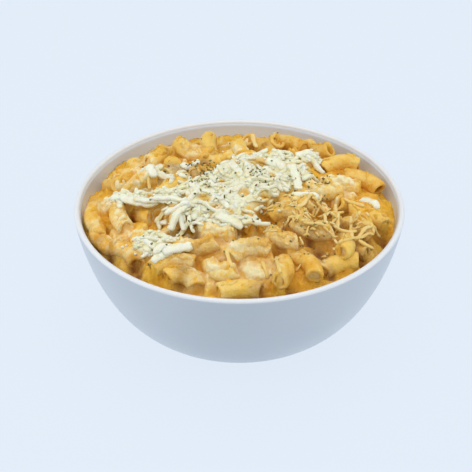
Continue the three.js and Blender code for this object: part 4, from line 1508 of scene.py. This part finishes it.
def pasta_look():
    look = Look("macaroni_pasta")
    look.soften(0.25, 0.5)
    gold = look.mix(look.attribute("tone"), colour(231, 170, 42), colour(243, 198, 80))
    blotch = look.between(look.noise(6, 4, 0.6), 0.42, 0.62)
    base = look.mix(look.math("MULTIPLY", blotch, 0.65), gold, colour(246, 210, 112))
    film = look.between(look.noise(3.2, 5, 0.65), 0.36, 0.58)
    smear = look.math("ADD", look.attribute("milk", 0.85), 0.15)
    base = look.mix(look.math("MULTIPLY", smear, film), base, colour(242, 224, 168))
    base = sandy_tone(look, base)
    # Painted shade: darker gold inside the tube.
    base = look.tint(base, "bore_shade", 0.5, 206, 144, 42)
    # Painted shade: deeper gold where the pasta lies deep in the heap.
    base = look.tint(base, "cavity", 0.6, 216, 152, 40)
    # Painted shade: dark in the hollows and towards the back of the heap.
    base = look.tint(base, "brown", 0.9, 156, 92, 26)
    roughness = look.between(look.noise(3, 3), 0.35, 0.65, 0.3, 0.55)
    normal = look.bump(look.noise(0.9, 3), 0.2, look.bump(look.noise(2.6, 4, 0.6), 0.9))
    return look.finish(base, roughness, normal, 0.28)


def sauce_look():
    look = Look("cheese_sauce")
    look.soften(0.25, 0.5)
    warm = look.mix(look.between(look.noise(6, 4), 0.38, 0.64), colour(232, 172, 38), colour(241, 194, 70))
    milk = look.math("MULTIPLY", look.attribute("milk"), look.between(look.noise(4, 4, 0.55), 0.3, 0.55))
    base = look.mix(milk, warm, colour(246, 233, 186))
    base = sandy_tone(look, base)
    # Painted shade: deeper gold where the sauce lies deep in the heap.
    base = look.tint(base, "cavity", 0.6, 216, 152, 40)
    # Painted shade: dark in the hollows and towards the back of the heap.
    base = look.tint(base, "brown", 0.95, 132, 76, 24)
    roughness = look.between(look.noise(3, 3), 0.35, 0.65, 0.3, 0.6)
    normal = look.bump(look.noise(1.0, 4, 0.65), 0.3, look.bump(look.noise(2.6, 4, 0.6), 0.8))
    return look.finish(base, roughness, normal, 0.28)


def melted_look():
    look = Look("melted_cheese")
    look.soften(0.35, 0.55)
    base = look.mix(look.attribute("tone"), colour(232, 194, 104), colour(242, 226, 172))
    base = look.mix(look.between(look.noise(5, 3), 0.45, 0.7), base, colour(236, 200, 112))
    # Painted shade: darker where the strands lie deep in the heap.
    base = look.tint(base, "cavity", 0.6, 200, 144, 52)
    return look.finish(base, 0.5, look.bump(look.noise(1.4, 4, 0.6), 0.3), 0.35)


def cheese_look():
    look = Look("white_cheese")
    look.soften(0.35, 0.9)
    base = look.mix(look.attribute("tone"), colour(237, 232, 194), colour(243, 242, 223))
    base = look.mix(look.between(look.noise(5, 3), 0.5, 0.72), base, colour(236, 222, 166))
    # Painted shade: yellower where the cheese lies deep between the shreds.
    base = look.tint(base, "cavity", 0.8, 230, 206, 128)
    # Painted shade in the small hollows, and the sauce's own colour where the soft cheese meets it.
    base = look.tint(base, "dip", 0.85, 226, 180, 72)
    normal = look.bump(look.noise(0.9, 4, 0.65), 0.3, look.bump(look.noise(2.4, 3), 0.5))
    return look.finish(base, 0.6, normal, 0.3)


def herb_look():
    look = Look("dried_herbs")
    tone = look.attribute("tone")
    base = look.mix(look.between(tone, 0.0, 0.6), colour(104, 96, 46), colour(150, 138, 78))
    base = look.mix(look.between(tone, 0.75, 0.95), base, colour(128, 84, 38))
    return look.finish(base, 0.75, look.bump(look.noise(0.5, 3), 0.1), 0.25)


# ---- the object ----

bowl = piece("bowl_glazed", bowl_arrays(), glaze_look())
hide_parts("bowl")

elbows = packed_elbows()
tubes = elbows + filler_elbows(elbows) + sunk_elbows()
core = core_height(GRID_X, GRID_Y)
heap_top = smooth(np.maximum(tube_tops(tubes), core), 2)
sandy = patches(SANDY_PIXELS, heap_top)
coat = coat_field(heap_top, sandy)
hollow, brown = hollow_fields(heap_top)
chance = np.random.default_rng(SHRED_SEED)
sauce_height, sauce_milk = sauce_field(tubes, coat, hollow, sandy, chance)
tops = np.maximum(sauce_height, tube_tops(tubes))
# The general level of the heap, from which the depth of the painted shade is measured
level = smooth(np.maximum(tops, core - 4), 5)


def shades(points, reach):
    """How much painted shade points get from lying deep in the heap, from 0 to 1, how much darker painted
    shade they get in the hollows and at the back, and how sandy they are.
    """
    depth = under(level, points) - points[:, 2]
    cavity = np.clip((depth - HOLLOW_START) / reach, 0, 1)
    cavity *= 1 - 0.4 * step(-points[:, 0], *PALER_LEFT)
    browned = under(brown, points) * np.clip(0.9 + depth / 4, 0.6, 1)
    return {"cavity": cavity, "brown": browned, "sand": under(sandy, points)}


chance = np.random.default_rng(TUBE_LOOK_SEED)
tube_pile, plug_pile = Pile(), Pile()
for count, elbow in enumerate(tubes):
    is_wide = count in WIDE_ELBOWS
    widening = WIDE_ELBOWS.get(count, 1.0)
    points, faces, inside = tube_mesh(elbow, chance, widening)
    layers = {"bore_shade": inside, "milk": under(coat, points), **shades(points, TUBE_DEPTH)}
    tube_pile.add(points, faces, tone=chance.uniform(), **layers)
    for share, way in TUBE_ENDS:
        if is_wide or chance.uniform() < PLUG_SHARE:
            plug = plug_mesh(elbow, share, way, widening, chance)
            milk = WIDE_MILK if is_wide else chance.uniform(0.2, 1)
            # A plug gets a little painted shade all over, and none of the painted shade of the hollows.
            plug_pile.add(*plug, milk=milk, cavity=0.2, brown=0, sand=0)
tube_arrays = tube_pile.arrays()
macaroni = piece("macaroni_elbows", tube_arrays, pasta_look())
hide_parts("macaroni")

points, faces = sauce_mesh(sauce_height)
sauce_arrays = (points, faces, {"milk": under(sauce_milk, points), **shades(points, SAUCE_DEPTH)})
saucy = sauce_look()
sauce = piece("sauce_bed", sauce_arrays, saucy)
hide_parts("macaroni")
piece("sauce_in_tubes", plug_pile.arrays(), saucy)

surface = tops.copy()
melted_arrays = melted_strands(surface, np.random.default_rng(STRAND_SEED))
# The strands get painted shade where they lie deep in the heap.
melted_arrays[2]["cavity"] = shades(melted_arrays[0], STRAND_DEPTH)["cavity"]
piece("melted_strands", melted_arrays, melted_look())

shred_arrays = shredded_cheese(surface, np.random.default_rng(SHRED_SEED))
cheese_level = smooth(surface, 2.5)
fill = cheese_base(surface)
base_pile = Pile()
for pad in PADS:
    points, faces, sauced = pad_body(pad, fill, tops)
    base_pile.add(points, faces, tone=0.4, sauced=sauced)
base_arrays = base_pile.arrays()


def shade_cheese(arrays):
    """Adds the painted shade where the cheese lies deep between the shreds, and the yellow painted as shade
    in the small hollows and as the sauce's colour at the soft cheese's edge.
    """
    points, _, layers = arrays
    depth = under(cheese_level, points) - points[:, 2]
    layers["cavity"] = np.clip((depth - GAP_START) / GAP_DEPTH, 0, 1)
    layers["dip"] = np.maximum(dip_share(points[:, 0], points[:, 1]), layers.pop("sauced", 0))
    return arrays


cheese_names = ("cheese_pile", "cheese_front_left", "cheese_back_left", "cheese_back_right")
cheesy = cheese_look()
shreds = piece("cheese_shreds", shade_cheese(shred_arrays), cheesy)
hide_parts(*cheese_names)
soft_cheese = piece("cheese_soft_base", shade_cheese(base_arrays), cheesy)
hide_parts(*cheese_names)

tree = ground(tube_arrays, sauce_arrays, melted_arrays, shred_arrays, base_arrays)
crumb_arrays = crumbs(tree, np.random.default_rng(CRUMB_SEED))
# Crumbs get none of the painted shade.
crumb_arrays[2]["cavity"] = crumb_arrays[2]["dip"] = np.zeros(len(crumb_arrays[0]))
piece("cheese_crumbs", crumb_arrays, cheesy)

herb_arrays = herbs(tree, np.random.default_rng(HERB_SEED))
piece("herb_flakes", herb_arrays, herb_look(), is_smooth=False)

# ---- studio ----


def stage_floor():
    mesh = bpy.data.meshes.new("studio_floor")
    half = 6
    corners = [(-half, -half, 0), (half, -half, 0), (half, half, 0), (-half, half, 0)]
    mesh.from_pydata(corners, [], [(0, 1, 2, 3)])
    floor = bpy.data.objects.new("studio_floor", mesh)
    bpy.context.scene.collection.objects.link(floor)
    material = bpy.data.materials.new("studio_floor")
    material.use_nodes = True
    shader = material.node_tree.nodes["Principled BSDF"]
    set_inputs(shader, Base_Color=(0.06, 0.065, 0.07, 1), Roughness=1, Specular_IOR_Level=0)
    set_inputs(shader, Emission_Color=colour(225, 235, 247), Emission_Strength=0.94)
    mesh.materials.append(material)


def area_light(name, place, size, power, tint):
    """A rectangular lamp that points at the middle of the dish."""
    light = bpy.data.lights.new(name, "AREA")
    light.shape = "RECTANGLE"
    light.size, light.size_y = size
    light.energy = power
    light.color = tint
    lamp = bpy.data.objects.new(name, light)
    lamp.location = place
    lamp.rotation_euler = (Vector((0, 0, 0.06)) - Vector(place)).to_track_quat("-Z", "Y").to_euler()
    bpy.context.scene.collection.objects.link(lamp)


def studio_air():
    """Pale air, brighter above than at the horizon."""
    world = bpy.data.worlds.new("studio_air")
    world.use_nodes = True
    nodes, links = world.node_tree.nodes, world.node_tree.links
    split = nodes.new("ShaderNodeSeparateXYZ")
    ramp = nodes.new("ShaderNodeMapRange")
    links.new(nodes.new("ShaderNodeTexCoord").outputs["Generated"], split.inputs[0])
    links.new(split.outputs["Z"], ramp.inputs["Value"])
    set_inputs(ramp, From_Min=0.1, From_Max=0.9, To_Min=0.25, To_Max=0.86)
    links.new(ramp.outputs["Result"], nodes["Background"].inputs["Strength"])
    set_inputs(nodes["Background"], Color=(0.92, 0.96, 1.0, 1))
    bpy.context.scene.world = world


def studio():
    stage_floor()
    studio_air()
    area_light("overhead", (0.05, 0.2, 1.3), (1.3, 1.0), 4.15, (1, 0.985, 0.96))
    area_light("front_high", (-0.1, -0.75, 1.35), (1.2, 0.8), 3.95, (1, 0.99, 0.97))
    area_light("left_side", (-1.1, -0.2, 0.35), (0.7, 0.7), 3.2, (0.96, 0.98, 1))
    area_light("right_side", (1.1, -0.2, 0.35), (0.7, 0.7), 2.7, (0.96, 0.98, 1))
    bpy.context.scene.view_settings.view_transform = "Standard"


def camera():
    data = bpy.data.cameras.new("camera")
    data.sensor_width = SENSOR
    data.lens = LENS
    eye = bpy.data.objects.new("camera", data)
    eye.location = [MM * along for along in EYE]
    eye.rotation_euler = (EYE_TILT, 0, 0)
    bpy.context.scene.collection.objects.link(eye)
    bpy.context.scene.camera = eye


studio()
camera()
